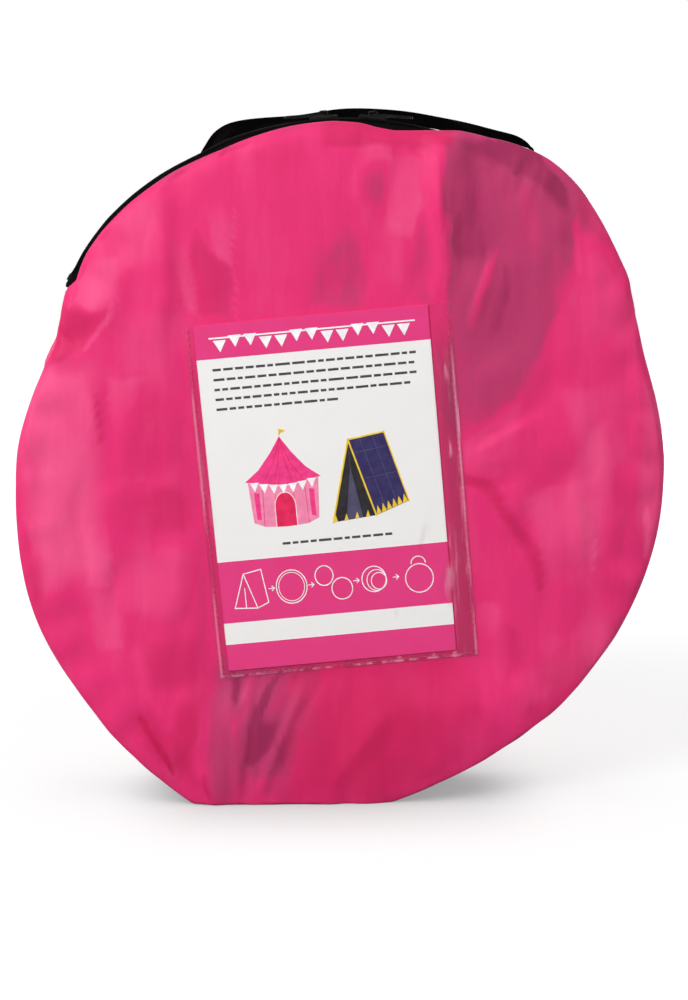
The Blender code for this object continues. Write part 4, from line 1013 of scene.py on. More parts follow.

# Folds of the front painted in the deep colour, as painted shade, told in the same way
FRONT_FOLDS = (
    (((-175, 310), (-168, 309), (-156, 304), (-142, 309), (-149, 299), (-160, 286), (-175, 280), (-187, 272),
     (-177, 291)), 4, 0.50),
    (((-123, 266), (-103, 250), (-98, 217), (-136, 196), (-137, 223), (-130, 250)), 9, 0.22),
    (((-142, 191), (-107, 201), (-98, 192), (-100, 173), (-140, 171)), 6, 0.38, (-104, 190, -146, 180)),
    (((-108, 67), (-93, 67), (-95, 48), (-98, 22), (-90, 9), (-97, 9), (-108, 27), (-111, 45)), 8, 0.55),
    (((-136, 56), (-126, 60), (-112, 44), (-108, 26), (-118, 26), (-132, 44)), 8, 0.55),
    (((94, 120), (105, 108), (107, 88), (95, 76), (88, 98)), 6, 0.34, (104, 100, 88, 98)),
    (((143, 104), (146, 97), (149, 88), (137, 78), (119, 75), (114, 88)), 6, 0.24),
    (((176, 242), (184, 233), (184, 211), (176, 223)), 4, 0.30),
    (((162, 205), (173, 205), (173, 187), (162, 187)), 5, 0.22),
    (((138, 378), (147, 366), (145, 358), (137, 366)), 4, 0.34),
    (((151, 353), (157, 351), (160, 332), (154, 336)), 4, 0.34),
    (((-36, 92), (66, 98), (84, 62), (60, 22), (30, 4), (-40, 2), (-36, 50)), 18, 0.52),
    (((-6, 66), (30, 74), (58, 50), (20, 14), (-20, 12)), 18, 0.20),
    (((-132, 106), (-94, 104), (-92, 70), (-120, 76)), 12, 0.38),
    (((-200, 160), (-190, 152), (-186, 118), (-197, 126)), 9, 0.30),
    (((-91, 356), (-85, 345), (-71, 332), (-72, 304), (-91, 304), (-96, 340)), 5, 0.34),
    (((-16, 426), (66, 424), (60, 405), (-15, 404)), 6, 0.52),
    (((-60, 400), (-28, 408), (-26, 396), (-40, 388)), 12, 0.24),
)

# Narrow streaks of the front, in millimetres: points along each, its width, its edge's softness, its
# strength.
# Painted shade counts above zero and painted highlights below.
FRONT_STREAKS = (
    (((-37, 86), (-53, 69), (-59, 58)), 5.5, 2.5, 0.44), (((-23, 91), (-35, 78)), 3.6, 2, 0.36),
    (((-61, 86), (-66, 78)), 3.0, 2, 0.26), (((-51, 86), (-57, 79)), 3.0, 2, 0.26),
    (((-59, 83), (-70, 52)), 7.0, 3, -0.16), (((-22, 83), (-52, 58)), 6.0, 3, -0.14),
    (((-40, 48), (-56, 25)), 4.0, 2, -0.20), (((-141, 311), (-145, 301), (-160, 285)), 2.6, 2, -0.60),
    (((-69, 367), (-69, 303)), 1.4, 2, -0.40), (((89, 342), (80, 320), (72, 297)), 6.0, 3, -0.34),
    (((96, 332), (86, 292)), 9.0, 6, 0.20), (((59, 366), (59, 319)), 4.0, 3, -0.34),
    (((65, 366), (65, 319)), 4.0, 4, 0.16), (((77, 417), (87, 407)), 1.6, 2, -0.36),
    (((97, 412), (104, 401), (100, 388)), 4.5, 3, 0.30), (((114, 407), (116, 392)), 2.6, 2, 0.26),
    (((137, 366), (137, 331)), 4.0, 4, -0.26), (((151, 166), (151, 147)), 2.0, 2, -0.44),
    (((184, 187), (184, 155)), 4.5, 3, -0.44), (((-120, 240), (-126, 206)), 2.0, 2, -0.26),
    (((36, 404), (44, 392)), 2.0, 2, 0.24),
)
# Narrow folds painted in the deep colour, as painted shade, told in the same way
FRONT_FOLD_STREAKS = (
    (((68, 208), (82, 203), (99, 182), (113, 160), (119, 137)), 7.5, 4, 0.60),
    (((-131, 55), (-119, 38), (-110, 22)), 4.0, 2.5, 0.85), (((-70, 414), (-75, 397)), 2.4, 2, 0.55),
    (((-77, 410), (-85, 397)), 2.4, 2, 0.50), (((-84, 407), (-90, 396)), 2.2, 2, 0.45),
    (((-90, 20), (-88, 3)), 3.0, 2, 0.5), (((-153, 262), (-152, 226)), 2.4, 2, 0.40),
    (((-176, 300), (-168, 288)), 3.0, 3, 0.30),
)


def depth_inside(x, z, corners):
    """How far inside an outline each place lies. Outside it counts below zero."""
    away = np.full(len(x), 1e9)
    inside = np.zeros(len(x), bool)
    for (ax, az), (bx, bz) in zip(corners, corners[1:] + corners[:1]):
        along = np.clip(
            ((x - ax) * (bx - ax) + (z - az) * (bz - az)) / ((bx - ax) ** 2 + (bz - az) ** 2), 0, 1
        )
        away = np.minimum(away, np.hypot(x - ax - along * (bx - ax), z - az - along * (bz - az)))
        if az != bz:
            inside ^= ((az > z) != (bz > z)) & (x < ax + (z - az) * (bx - ax) / (bz - az))
    return np.where(inside, away, -away)


def depth_in_streak(x, z, points, width):
    """How far inside a streak each place lies. Its ends run out to points."""
    best = np.full(len(x), -1e9)
    for i, ((ax, az), (bx, bz)) in enumerate(zip(points, points[1:])):
        along = np.clip(
            ((x - ax) * (bx - ax) + (z - az) * (bz - az)) / ((bx - ax) ** 2 + (bz - az) ** 2), 0, 1
        )
        run = (i + along) / (len(points) - 1)
        half = width / 2 * np.sqrt(np.clip(4 * (run + 0.08) * (1.08 - run), 0, 1))
        best = np.maximum(best, half - np.hypot(x - ax - along * (bx - ax), z - az - along * (bz - az)))
    return best


def shade_of(points, patches, streaks, seed):
    """The sum of patches and streaks at each point. Their edges wander, and are crisp or soft by turns."""
    x, z = points[:, 0], points[:, 2]
    wander_x = 1000 * (x + 0.0016 * ripple(x, z, 0.022, seed) + 0.0008 * ripple(x, z, 0.008, seed + 3))
    wander_z = 1000 * (z + 0.0030 * ripple(x, z, 0.024, seed + 7) + 0.0010 * ripple(x, z, 0.008, seed + 5))
    soft = np.maximum(0.6 + 0.5 * ripple(x, z, 0.026, seed + 11), 0.2)
    total = np.zeros(len(x))
    for corners, edge, strength, *fade in patches:
        amount = smooth_step(depth_inside(wander_x, wander_z, corners) / (edge * soft), -1, 1)
        for full_x, full_z, none_x, none_z in fade:
            way = ((wander_x - full_x) * (none_x - full_x) + (wander_z - full_z) * (none_z - full_z))
            amount = amount * (
                1 - 0.9 * smooth_step(way / ((none_x - full_x) ** 2 + (none_z - full_z) ** 2), 0, 1)
            )
        total = total + strength * amount
    for line, width, edge, strength in streaks:
        total = total + strength * smooth_step(
            depth_in_streak(wander_x, wander_z, line, width), -edge / 2, edge / 2
        )
    return np.clip(total, -1, 1)


def mesh_points(mesh):
    points = np.empty(len(mesh.vertices) * 3, np.float32)
    mesh.vertices.foreach_get("co", points)
    return points.reshape(-1, 3).astype(float)


# Pull of the cloth's edge, in millimetres, at places round the zip, in degrees
ZIP_TUCKS = (
    (48, 0.0), (55, 1.6), (60, 3.0), (66, 4.2), (71, 2.8), (77, 4.2), (82, 5.4), (85, 4.6), (88, 2.6),
    (93, 1.4), (100, 1.6), (108, 2.6), (113, 3.2), (118, 2.4), (122, 1.4), (127, 1.0), (131, 0.5), (138, 0.5),
    (142, 1.2), (145, 2.4), (147.6, 4.0), (149.8, 0.0),
)

# How proud of the zip the tape's sewn edge stands, in millimetres, at places round the zip, in degrees
TAPE_STANDS = (
    (50, 0.6), (100, 1.0), (112, 1.9), (116, 0.8), (119, 1.2), (124, 2.2), (130, 2.8), (136, 2.9), (140, 2.2),
    (143, 1.6), (146, 0.4), (149, -0.6),
)


# How far the slack front stands out past its seam, in millimetres, at places round the bag, in degrees
FRONT_SWELLS = (
    (50, 0.0), (56, 0.8), (61, 0.6), (66, 0.0), (190, 0.0), (203, 1.2), (212, 1.2), (220, 1.2), (230, 1.0),
    (235, 0.0), (240, 1.2), (246, 5.4), (252, 7.4), (258, 5.4), (268, 4.2), (276, 0.0), (285, -2.6),
    (295, -1.4), (303, 0.2), (310, 2.2), (318, 2.6), (325, 3.2), (340, 1.8), (355, 0.6),
)


def zip_tuck(angle):
    """How far the cloth's edge is pulled in from the zip, where the tape's sewn edge shows on the front."""
    return float(at_angle(ZIP_TUCKS, angle))


def no_tuck(angle):
    """The back's edge, which stays at the zip all round."""
    return 0.0


def make_front_cloth():
    mesh = face_cloth(
        "front_cloth", FRONT_ROW_SHARES, -1, FRONT_FACETS, FRONT_CREASES, 3.0, zip_tuck, True, 0.0022,
        FRONT_SWELLS, 0.0065
    )
    spots = mesh_points(mesh)
    height = spots[:, 2] - AXIS_HEIGHT
    reach = np.hypot(spots[:, 0], height)
    # The top rim is painted darker: painted shade on the cloth that turns up to the sky and the lamps.
    hem = smooth_step(reach, ZIP_RADIUS - 0.009, ZIP_RADIUS + 0.001) * smooth_step(
        height / np.maximum(reach, 0.001), 0.45, 0.8
    )
    save_shade(mesh, np.clip(shade_of(spots, FRONT_SHADES, FRONT_STREAKS, 31.0) + 0.40 * hem, -1, 1))
    save_shade(mesh, np.clip(shade_of(spots, FRONT_FOLDS, FRONT_FOLD_STREAKS, 37.0), 0, 1), "fold_shade")
    cloth = add_piece("front_cloth", mesh, PINK)
    thicken(cloth, CLOTH_THICKNESS)
    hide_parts("front_panel", "front_flap")
    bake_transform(cloth)


def make_back_cloth():
    mesh = face_cloth(
        "back_cloth", BACK_ROW_SHARES, 1, scattered_facets(64, 5), BACK_CREASES, 17.0, no_tuck, False, 0.0020
    )
    points = mesh_points(mesh)
    save_shade(
        mesh,
        0.26 * ripple(points[:, 0], points[:, 2], 0.09, 71.0) + 0.16 * ripple(
            points[:, 0], points[:, 2] * 0.4, 0.03, 75.0
        )
    )
    cloth = add_piece("back_cloth", mesh, PINK)
    thicken(cloth, CLOTH_THICKNESS)
    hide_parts("back_panel")
    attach(cloth, "bag")


def band_cloth(name, start, end, front, back, bulge, waves, seed, material, fullness=1.0):
    """A side band of the bag, puckered across its width."""
    length = (end - start) * ZIP_RADIUS
    columns = ceil(length / 0.0030)
    rows = 15
    angles = np.linspace(start, end, columns + 1)
    rim = np.array([rim_radius(angle) for angle in angles])
    across = np.linspace(0, 1, rows)
    arch = np.sin(pi * across) ** fullness
    gather = np.array([
        noise.noise(Vector((angle * 9, 0.0, seed))) + 0.7 * noise.noise(Vector((angle * 24, 0.0, seed + 4)))
        for angle in angles
    ])
    slant = ripple(
        np.repeat(angles[None, :] * 6, rows, 0), np.repeat(across[:, None], columns + 1, 1), 1.0, seed
    )
    swell = bulge * arch[:, None] + waves * arch[:, None] * (gather[None, :] + 0.8 * slant)
    pull = np.array([front_pull(angle) for angle in angles]) * (front == -HALF_BAND)
    radius = rim[None, :] + swell - pull[None, :] * (1 - across[:, None] ** 2)
    depth = np.repeat((front + (back - front) * across)[:, None], columns + 1, axis=1)
    x = radius * np.cos(angles)[None, :]
    z = np.maximum(AXIS_HEIGHT + radius * np.sin(angles)[None, :], 0.0)
    uv = np.stack([np.repeat(angles[None, :] * ZIP_RADIUS, rows, 0), depth], axis=-1)
    mesh = grid_mesh(name, np.stack([x, depth, z], axis=-1), uv)
    points = mesh_points(mesh)
    save_shade(
        mesh,
        0.22 * ripple(points[:, 0], points[:, 2], 0.07, seed + 8) + 0.16 * ripple(
            points[:, 0], points[:, 2] * 3, 0.05, seed + 3
        )
    )
    band = add_piece(name, mesh, material)
    thicken(band, CLOTH_THICKNESS)
    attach(band, "bag")
    return band


def make_side_bands():
    start = pi / 2 + FOLD_ANGLE
    lower = band_cloth(
        "side_band_lower_cloth", start + 0.0015, start + 2 * pi - 2 * FOLD_ANGLE - 0.0015,
        -HALF_BAND, HALF_BAND, BAND_BULGE, 0.0014, 4.0, PINK,
    )
    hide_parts("side_band_lower")
    top = band_cloth(
        "side_band_top_cloth", pi / 2 - FOLD_ANGLE, pi / 2 + FOLD_ANGLE,
        TOP_BAND_EDGE, HALF_BAND, 0.0036, 0.0004, 9.0, BLACK, 1.6,
    )
    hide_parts("side_band_top")


def rope_mesh(name, route, radius, sides=8):
    """A thin round roll of cloth that follows a route of points, with closed ends."""
    bm = bmesh.new()
    rings = []
    for i, point in enumerate(route):
        ahead = (route[min(i + 1, len(route) - 1)] - route[max(i - 1, 0)]).normalized()
        side = ahead.cross(Vector((0.0, 1.0, 0.0))).normalized()
        up = side.cross(ahead)
        ring = []
        for k in range(sides):
            turn = 2 * pi * k / sides
            ring.append(bm.verts.new(point + radius * (cos(turn) * side + sin(turn) * up)))
        rings.append(ring)
    join_rings(bm, rings)
    mesh = smooth_mesh(bm, name)
    layer = mesh.uv_layers.new(name="Cloth")
    for loop in mesh.loops:
        spot = mesh.vertices[loop.vertex_index].co
        layer.uv[loop.index].vector = (spot.x, spot.z)
    return mesh


def rim_route(start, end, depth, out, step=0.004):
    count = ceil((end - start) * ZIP_RADIUS / step)
    route = []
    for i in range(count + 1):
        angle = start + (end - start) * i / count
        radius = rim_radius(angle) + out - (front_pull(angle) if depth < 0 else 0.0)
        height = max(AXIS_HEIGHT + radius * sin(angle), 0.0009)
        route.append(Vector((radius * cos(angle), depth, height)))
    return route


def make_seams():
    """Rolled seams where the faces meet the lower side band, and along the back of the top band."""
    start = pi / 2 + FOLD_ANGLE + 0.004
    end = start + 2 * pi - 2 * FOLD_ANGLE - 0.008
    for name, depth, low, high in (
        ("seam_front_lower", -HALF_BAND, start, end),
        ("seam_back_lower", HALF_BAND, start, end),
        ("seam_back_top", HALF_BAND, pi / 2 - FOLD_ANGLE, pi / 2 + FOLD_ANGLE),
    ):
        route = rim_route(low, high, depth, -0.0002)
        mesh = rope_mesh(name, route, 0.0009)
        save_shade(mesh, np.zeros(len(mesh.vertices)))
        seam = add_piece(name, mesh, PINK)
        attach(seam, "bag")


def stitch_row(bm, route, length, gap, width, lift_direction):
    """Adds a row of stitches along a route: short flattened threads that dip at both ends."""
    steps = [(b - a).length for a, b in zip(route, route[1:])]
    total = sum(steps)
    count = int(total / (length + gap))
    reach = np.concatenate([[0], np.cumsum(steps)])
    coords = np.array([tuple(point) for point in route])
    for i in range(count):
        low = i * (length + gap) + gap / 2
        spots = [
            Vector([np.interp(low + length * t, reach, coords[:, k]) for k in range(3)])
            for t in (0, 0.2, 0.5, 0.8, 1)
        ]
        ahead = (spots[-1] - spots[0]).normalized()
        up = lift_direction(spots[2])
        side = ahead.cross(up).normalized()
        rings = []
        for spot, lift, share in zip(spots, (-0.4, 0.35, 0.5, 0.35, -0.4), (0.5, 0.95, 1.0, 0.95, 0.5)):
            middle = spot + up * width * lift
            ring = []
            for k in range(6):
                turn = pi / 3 * k
                ring.append(
                    bm.verts.new(middle + width / 2 * share * (cos(turn) * side + 0.8 * sin(turn) * up))
                )
            rings.append(ring)
        join_rings(bm, rings)


def stitches(name, routes, material, length=0.0026, gap=0.0009, width=0.0005, lift=None):
    bm = bmesh.new()
    for route in routes:
        stitch_row(bm, route, length, gap, width, lift)
    return add_piece(name, smooth_mesh(bm, name), material)


def front_lift(spot):
    return Vector((0.0, -1.0, 0.0))


def rim_lift(spot):
    return Vector((spot.x, 0.0, spot.z - AXIS_HEIGHT)).normalized()


def make_tape_edge():
    """The zip tape's sewn edge, turned onto the front of the flap along the upper left."""
    start, end = radians(50), radians(149.6)
    columns = 200
    rows = 6
    angles = np.linspace(start, end, columns + 1)
    points = np.empty((rows, columns + 1, 3))
    for j in range(rows):
        t = j / (rows - 1)
        for i, angle in enumerate(angles):
            tuck = zip_tuck(angle)
            proud = float(at_angle(TAPE_STANDS, angle))
            radius = ZIP_RADIUS + proud - (tuck + proud + 0.0016) * t ** 1.5
            depth = TAPE_EDGE_DEPTH - TAPE_EDGE_REACH * t ** 0.8
            points[j, i] = (radius * cos(angle), depth, AXIS_HEIGHT + radius * sin(angle))
    uv = np.stack([np.repeat(angles[None, :] * ZIP_RADIUS, rows, 0), points[:, :, 1]], axis=-1)
    mesh = grid_mesh("zip_tape_edge", points, uv, flip=True)
    save_shade(mesh, np.zeros(len(mesh.vertices)))
    edge = add_piece("zip_tape_edge", mesh, BLACK)
    thicken(edge, 0.0008)
    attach(edge, "flap")


def arc_ribbon(name, start, end, rows, owner, thickness=0.0002):
    """A thin strip of black cloth just under the zip. Rows give depth, radius and share of the rim's pull."""
    angles = np.linspace(start, end, max(2, ceil((end - start) * ZIP_RADIUS / 0.004)) + 1)
    points = np.array([
        [on_arc(angle, radius - pulled * front_pull(angle), depth) for angle in angles]
        for depth, radius, pulled in rows
    ])
    uv = np.stack([np.repeat(angles[None, :] * ZIP_RADIUS, len(rows), 0), points[:, :, 1]], axis=-1)
    mesh = grid_mesh(name, points, uv)
    save_shade(mesh, np.zeros(len(mesh.vertices)))
    ribbon = add_piece(name, mesh, BLACK)
    thicken(ribbon, thickness)
    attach(ribbon, owner)


def make_zip_backing():
    """The tapes' woven edges behind the two rows of teeth, and the cloth that closes both ends of the zip."""
    start, end = pi / 2 - ZIP_HALF_ANGLE, pi / 2 + ZIP_HALF_ANGLE
    under = TEETH_BASE_RADIUS - 0.0002
    slit = 0.00015
    for name, side, owner in (("front", -1, "flap"), ("rear", 1, "bag")):
        rows = [
            (CHAIN_CENTRE + side * across, radius, 0)
            for across, radius in ((slit, under), (0.0040, under), (0.0060, ZIP_RADIUS - 0.0009))
        ]
        arc_ribbon("zip_backing_" + name, start, end, rows[::side], owner)
    rows = (
        (-HALF_BAND + 0.0008, under - 0.0012, 1.0), (-0.0200, under - 0.0004, 0.8), (-0.0100, under, 0.2),
        (TOP_BAND_EDGE + 0.0024, ZIP_RADIUS - 0.0011, 0.0),
    )
    arc_ribbon("zip_end_cloth_right", pi / 2 - FOLD_ANGLE - 0.006, start, rows, "bag", 0.0005)
    arc_ribbon("zip_end_cloth_left", end, pi / 2 + FOLD_ANGLE + 0.006, rows, "bag", 0.0005)


# The handle


def on_arc(angle, radius, depth=STRAP_CENTRE):
    return Vector((radius * cos(angle), depth, AXIS_HEIGHT + radius * sin(angle)))


def handle_route():
    """The strap's middle line, from one sewn end over the loop to the other, and its lean to the front."""
    middle = ZIP_RADIUS + 0.0003 + STRAP_THICKNESS / 2
    half = ANCHOR_LENGTH / 2 / middle
    sweep = HANDLE_RIGHT_ANGLE - HANDLE_LEFT_ANGLE
    points = [on_arc(HANDLE_LEFT_ANGLE + half * share, middle) for share in (1.0, 0.7, 0.4, 0.12)]
    for along, share in HANDLE_ROUTE_SHARES:
        radius = HANDLE_TIP_RADIUS + HANDLE_RISE * share - STRAP_THICKNESS / 2
        lean = radians(HANDLE_LEANS[len(points) - 4])
        radius += HANDLE_LIFT * float(smooth_step(along, 0.2, 0.45)) - STRAP_WIDTH / 2 * sin(lean)
        points.append(on_arc(HANDLE_LEFT_ANGLE + sweep * along, radius))
    points += [on_arc(HANDLE_RIGHT_ANGLE - half * share, middle) for share in (0.12, 0.4, 0.7, 1.0)]
    leans = [0, 0, 0, 0, *HANDLE_LEANS, 0, 0, 0, 0]
    turned = smooth_route([(radians(lean), 0.0, 0.0) for lean in leans], STRAP_STEPS)
    return smooth_route(points, STRAP_STEPS), [lean.x for lean in turned]


def make_handle():
    route, leans = handle_route()
    half_width, half_thick = STRAP_WIDTH / 2, STRAP_THICKNESS / 2
    outline = []
    edge = 0.0007
    for k in range(9):
        outline.append((-half_width + edge + (STRAP_WIDTH - 2 * edge) * k / 8, half_thick))
    outline += [
        (half_width - edge * 0.3, half_thick * 0.7), (half_width, 0.0),
        (half_width - edge * 0.3, -half_thick * 0.7)
    ]
    for k in range(9):
        outline.append((half_width - edge - (STRAP_WIDTH - 2 * edge) * k / 8, -half_thick))
    outline += [
        (-half_width + edge * 0.3, -half_thick * 0.7), (-half_width, 0.0),
        (-half_width + edge * 0.3, half_thick * 0.7)
    ]
    reach = 0.0
    rows, maps = [], []
    last = None
    for i, point in enumerate(route):
        ahead = (route[min(i + 1, len(route) - 1)] - route[max(i - 1, 0)]).normalized()
        up = Vector((0.0, 1.0, 0.0)).cross(ahead).normalized()
        if up.dot(Vector((point.x, 0.0, point.z - AXIS_HEIGHT))) < 0:
            up = -up
        if last is not None:
            reach += (point - last).length
        last = point
        loose = float(
            smooth_step(hypot(point.x, point.z - AXIS_HEIGHT), ZIP_RADIUS + 0.0020, ZIP_RADIUS + 0.0050)
        )
        sag = 0.0005 * loose * noise.noise(Vector((reach * 30, 0.0, 2.0)))
        cup = 0.0012 * loose * noise.noise(Vector((reach * 14, 0.0, 8.0)))
        row = []
        depth = Vector((0.0, cos(leans[i]), 0.0)) + up * sin(leans[i])
        up = depth.cross(ahead) * (1 if depth.cross(ahead).dot(up) > 0 else -1)
        for across, lift in outline:
            bend = cup * ((across / half_width) ** 2 - 0.4)
            row.append(point + depth * across + up * (lift + bend + sag))
        rows.append([tuple(spot) for spot in row])
        maps.append([(reach, across + (0.05 if lift < 0 else 0.0)) for across, lift in outline])
    mesh = grid_mesh("handle_strap", np.array(rows), np.array(maps), closed=True)
    close_mesh(mesh)
    strap = add_piece("handle_strap", mesh, WEBBING)
    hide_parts("carry_handle", "handle_anchor_left", "handle_anchor_right")
    up = Vector((0.04364, 0.0, 0.99905))
    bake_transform(strap)


def make_handle_stitches():
    """A sewn box with a cross in it at each end of the strap."""
    radius = ZIP_RADIUS + 0.0004 + STRAP_THICKNESS
    routes = []
    for angle, away in ((HANDLE_LEFT_ANGLE, 1), (HANDLE_RIGHT_ANGLE, -1)):
        near, far = angle + away * 0.022, angle + away * 0.069
        low, high = STRAP_CENTRE - 0.0100, STRAP_CENTRE + 0.0100
        corners = [(near, low), (near, high), (far, high), (far, low)]
        lines = [(corners[i], corners[(i + 1) % 4]) for i in range(4)]
        lines += [(corners[0], corners[2]), (corners[1], corners[3])]
        for (a, y_a), (b, y_b) in lines:
            routes.append([on_arc(a + (b - a) * t / 6, radius, y_a + (y_b - y_a) * t / 6) for t in range(7)])
    piece = stitches(
        "handle_stitches", routes, BLACK_THREAD, 0.0024, 0.0008, 0.0007, rim_lift
    )
    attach(piece, "bag")


# The card and its pocket


def card_bow(u, v):
    """How far the card bows out of its pocket's plane."""
    wave = 0.5 + 0.5 * sin(u * 21 + 0.6) * cos(v * 13 - 0.4)
    return 0.0004 * wave * (1 - (u / (CARD_WIDTH * 0.62)) ** 2)


def on_card(u, v, lift=0.0):
    """A point of the card's front, a height above it: u is across the card and v up it."""
    depth = CARD_BACK - CARD_THICKNESS - card_bow(u, v) - lift
    x = CARD_CENTRE[0] + u * cos(CARD_LEAN) - v * sin(CARD_LEAN)
    z = CARD_CENTRE[1] + u * sin(CARD_LEAN) + v * cos(CARD_LEAN)
    return x, depth, z


def edged_steps(length, count):
    """Even steps over a length about its middle, and one close to each end, so that its edge stays crisp."""
    steps = np.linspace(-length / 2, length / 2, count + 1)
    return np.concatenate([steps[:1], [steps[0] + 0.0002], steps[1:-1], [steps[-1] - 0.0002], steps[-1:]])


def make_card():
    across = edged_steps(CARD_WIDTH, 32)
    up = edged_steps(CARD_HEIGHT, 48)
    points = np.array([[on_card(u, v) for u in across] for v in up])
    uv = np.array([[(u + CARD_WIDTH / 2, v + CARD_HEIGHT / 2) for u in across] for v in up])
    mesh = grid_mesh("info_card_sheet", points, uv, flip=True)
    card = add_piece("info_card_sheet", mesh, CARD)
    thicken(card, CARD_THICKNESS * 0.8)
    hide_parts("info_card")
    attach(card, "card")


def oval(u, v, wide, high, start=0.0, end=360.0, steps=24):
    """Corner points of part of an oval, in millimetres on the card."""
    return [
        (
            u + wide * cos(radians(start + (end - start) * i / steps)),
            v + high * sin(radians(start + (end - start) * i / steps))
        )
        for i in range(steps + (0 if end - start == 360.0 else 1))
    ]


def pen_line(points, width=0.55, closed=False):
    """The outlines of a drawn line: one small four-sided shape for each stretch of it."""
    shapes = []
    pairs = list(zip(points, points[1:] + ([points[0]] if closed else [])))
    for (u1, v1), (u2, v2) in pairs:
        length = max(np.hypot(u2 - u1, v2 - v1), 1e-6)
        du, dv = (u2 - u1) / length * width / 2, (v2 - v1) / length * width / 2
        shapes.append([
            (u1 - du - dv, v1 - dv + du), (u1 - du + dv, v1 - dv - du),
            (u2 + du + dv, v2 + dv - du), (u2 + du - dv, v2 + dv + du),
        ])
    return shapes


def bar(u, v, wide, high):
    return [(u, v), (u + wide, v), (u + wide, v + high), (u, v + high)]


# Inks of the print: colour, and how high it lies over the ones before it
CARD_INKS = {
    "rose": ((0.80, 0.04, 0.22), 1), "pale_rose": ((0.84, 0.24, 0.40), 0),
    "deep_rose": ((0.70, 0.015, 0.09), 2), "navy": ((0.022, 0.018, 0.090), 2),
    "coal": ((0.010, 0.010, 0.012), 1), "yellow": ((0.80, 0.55, 0.035), 4),
    "slate": ((0.060, 0.056, 0.110), 3), "white": ((0.88, 0.86, 0.87), 3),
    "grey": ((0.050, 0.048, 0.055), 1),
}


def card_pictures():
    """Plain pictures of the print, by colour: a garland, rows of bars, two tents and five folding steps."""
    pictures = {ink: [] for ink in CARD_INKS}
    for k in range(13):
        u = -60 + 9.3 * k
        dip = 97.5 + 2.4 * cos((k % 4 - 1.5) * 1.2)
        pictures["white"].append([(u, dip), (u + 3.9, dip - 7.2), (u + 7.8, dip)])
    pictures["white"] += pen_line([(-62, 98.4), (62, 98.4)], 0.9)
    for row, (v, start, end) in enumerate(
        ((78.6, -62, 62), (72.6, -62, 60), (66.6, -62, 62), (60.6, -62, 59), (54.6, -62, 12), (-31, -30, 40))
    ):
        draw_bars(pictures["grey"], v, start, end, row)
    place_picture(pictures, bell_tent(), (-26, -20), 0.80, 0.98)
    place_picture(pictures, ridge_tent(), (26, -20), 0.74, 1.02)
    draw_folding_steps(pictures, -57.5)
    return pictures


def draw_bars(shapes, v, start, end, row):
    """A row of plain bars of uneven length."""
    u = start
    place = row * 5
    while end - u > 1.5:
        wide = 3.0 + 10.0 * abs(noise.noise(Vector((place * 0.73 + 0.31, row * 1.9, 4.4))))
        shapes.append(bar(u, v, min(wide, end - u), 1.5))
        u += wide + 1.4
        place += 1


def place_picture(pictures, drawing, foot, wide, high):
    """Puts a drawing, made about the middle of its foot, on the card at a place and a size."""
    for ink, shapes in drawing.items():
        for shape in shapes:
            pictures[ink].append([(foot[0] + u * wide, foot[1] + v * high) for u, v in shape])


def bell_tent():
    """A round tent with a pointed roof, a little flag, two windows and an arched door."""
    roof = [(0, 57), (8, 47), (18, 37), (29, 30), (0, 26), (-29, 30), (-18, 37), (-8, 47)]
    walls = [(-27, 29.5), (0, 25.5), (27, 29.5), (25, 4), (16, 1), (0, 0), (-16, 1), (-25, 4)]
    door = [(-8, 0.4)] + oval(0, 13, 8, 9, 180, 0, 10) + [(8, 0.4)]
    drawing = {
        "rose": [roof, [(-7, 0.5), (-0.5, 20.5), (-6.5, 15)]], "pale_rose": [walls], "deep_rose": [door],
        "white": pen_line(door, 0.5), "yellow": [[(0, 57), (0, 62), (5.5, 60.2), (0, 58.6)]],
    }
    for foot, bend in ((-16, -3.0), (-7, -1.2), (7, 1.2), (16, 3.0)):
        drawing["deep_rose"] += pen_line([(0, 56), (foot * 0.38, 41), (foot, 28.2)], 0.5)
        drawing["rose"] += pen_line([(foot, 27), (foot + bend * 0.4, 1.4)], 0.5)
    for u in (-23, 19):
        drawing["rose"].append([(u, 23), (u + 4, 22.4), (u + 4, 5.4), (u + 0.6, 6)])
    for k in range(7):
        u = -25.5 + 7.3 * k
        sag = 26 + 3.5 * ((u + 3.5) / 26) ** 2
        drawing["white"].append([(u, sag + 0.8), (u + 3.4, sag - 5.0), (u + 6.8, sag + 0.8)])
    return drawing


def ridge_tent():
    """A low tent with a ridge, seen from its open end."""
    drawing = {
        "navy": [[(-14, 49), (16, 52), (32, 9), (4, 2)]], "coal": [[(-14, 49), (4, 2), (-32, 0)]],
        "slate": [[(-14, 33), (-7, 1.4), (-21, 0.6)]],
        "yellow": pen_line([(-32, 0), (-14, 49), (4, 2)], 1.3),
    }
    drawing["yellow"] += pen_line([(-14, 49), (16, 52), (32, 9)], 1.0)
    for line, width in (
        ([(-4.5, 49.6), (13, 4.4)], 0.5), ([(6, 50.8), (22.6, 6.8)], 0.5), ([(-8, 41), (19.4, 43.4)], 0.4),
        ([(-2.4, 25), (25.4, 27.4)], 0.4), ([(-14, 45), (-14, 33)], 0.4),
    ):
        drawing["slate"] += pen_line(line, width)
    for k in range(6):
        u, v = 4.4 + 4.5 * k, 2.4 + 1.12 * k
        drawing["yellow"].append([(u, v), (u + 4.2, v + 1.0), (u + 1.2, v + 5.6)])
    for k in range(4):
        u, v = -30 + 9 * k, 0.2 + 0.5 * k
        drawing["yellow"].append([(u - 1.6, v), (u + 1.8, v + 0.1), (u + 0.4, v + 4.0)])
    return drawing


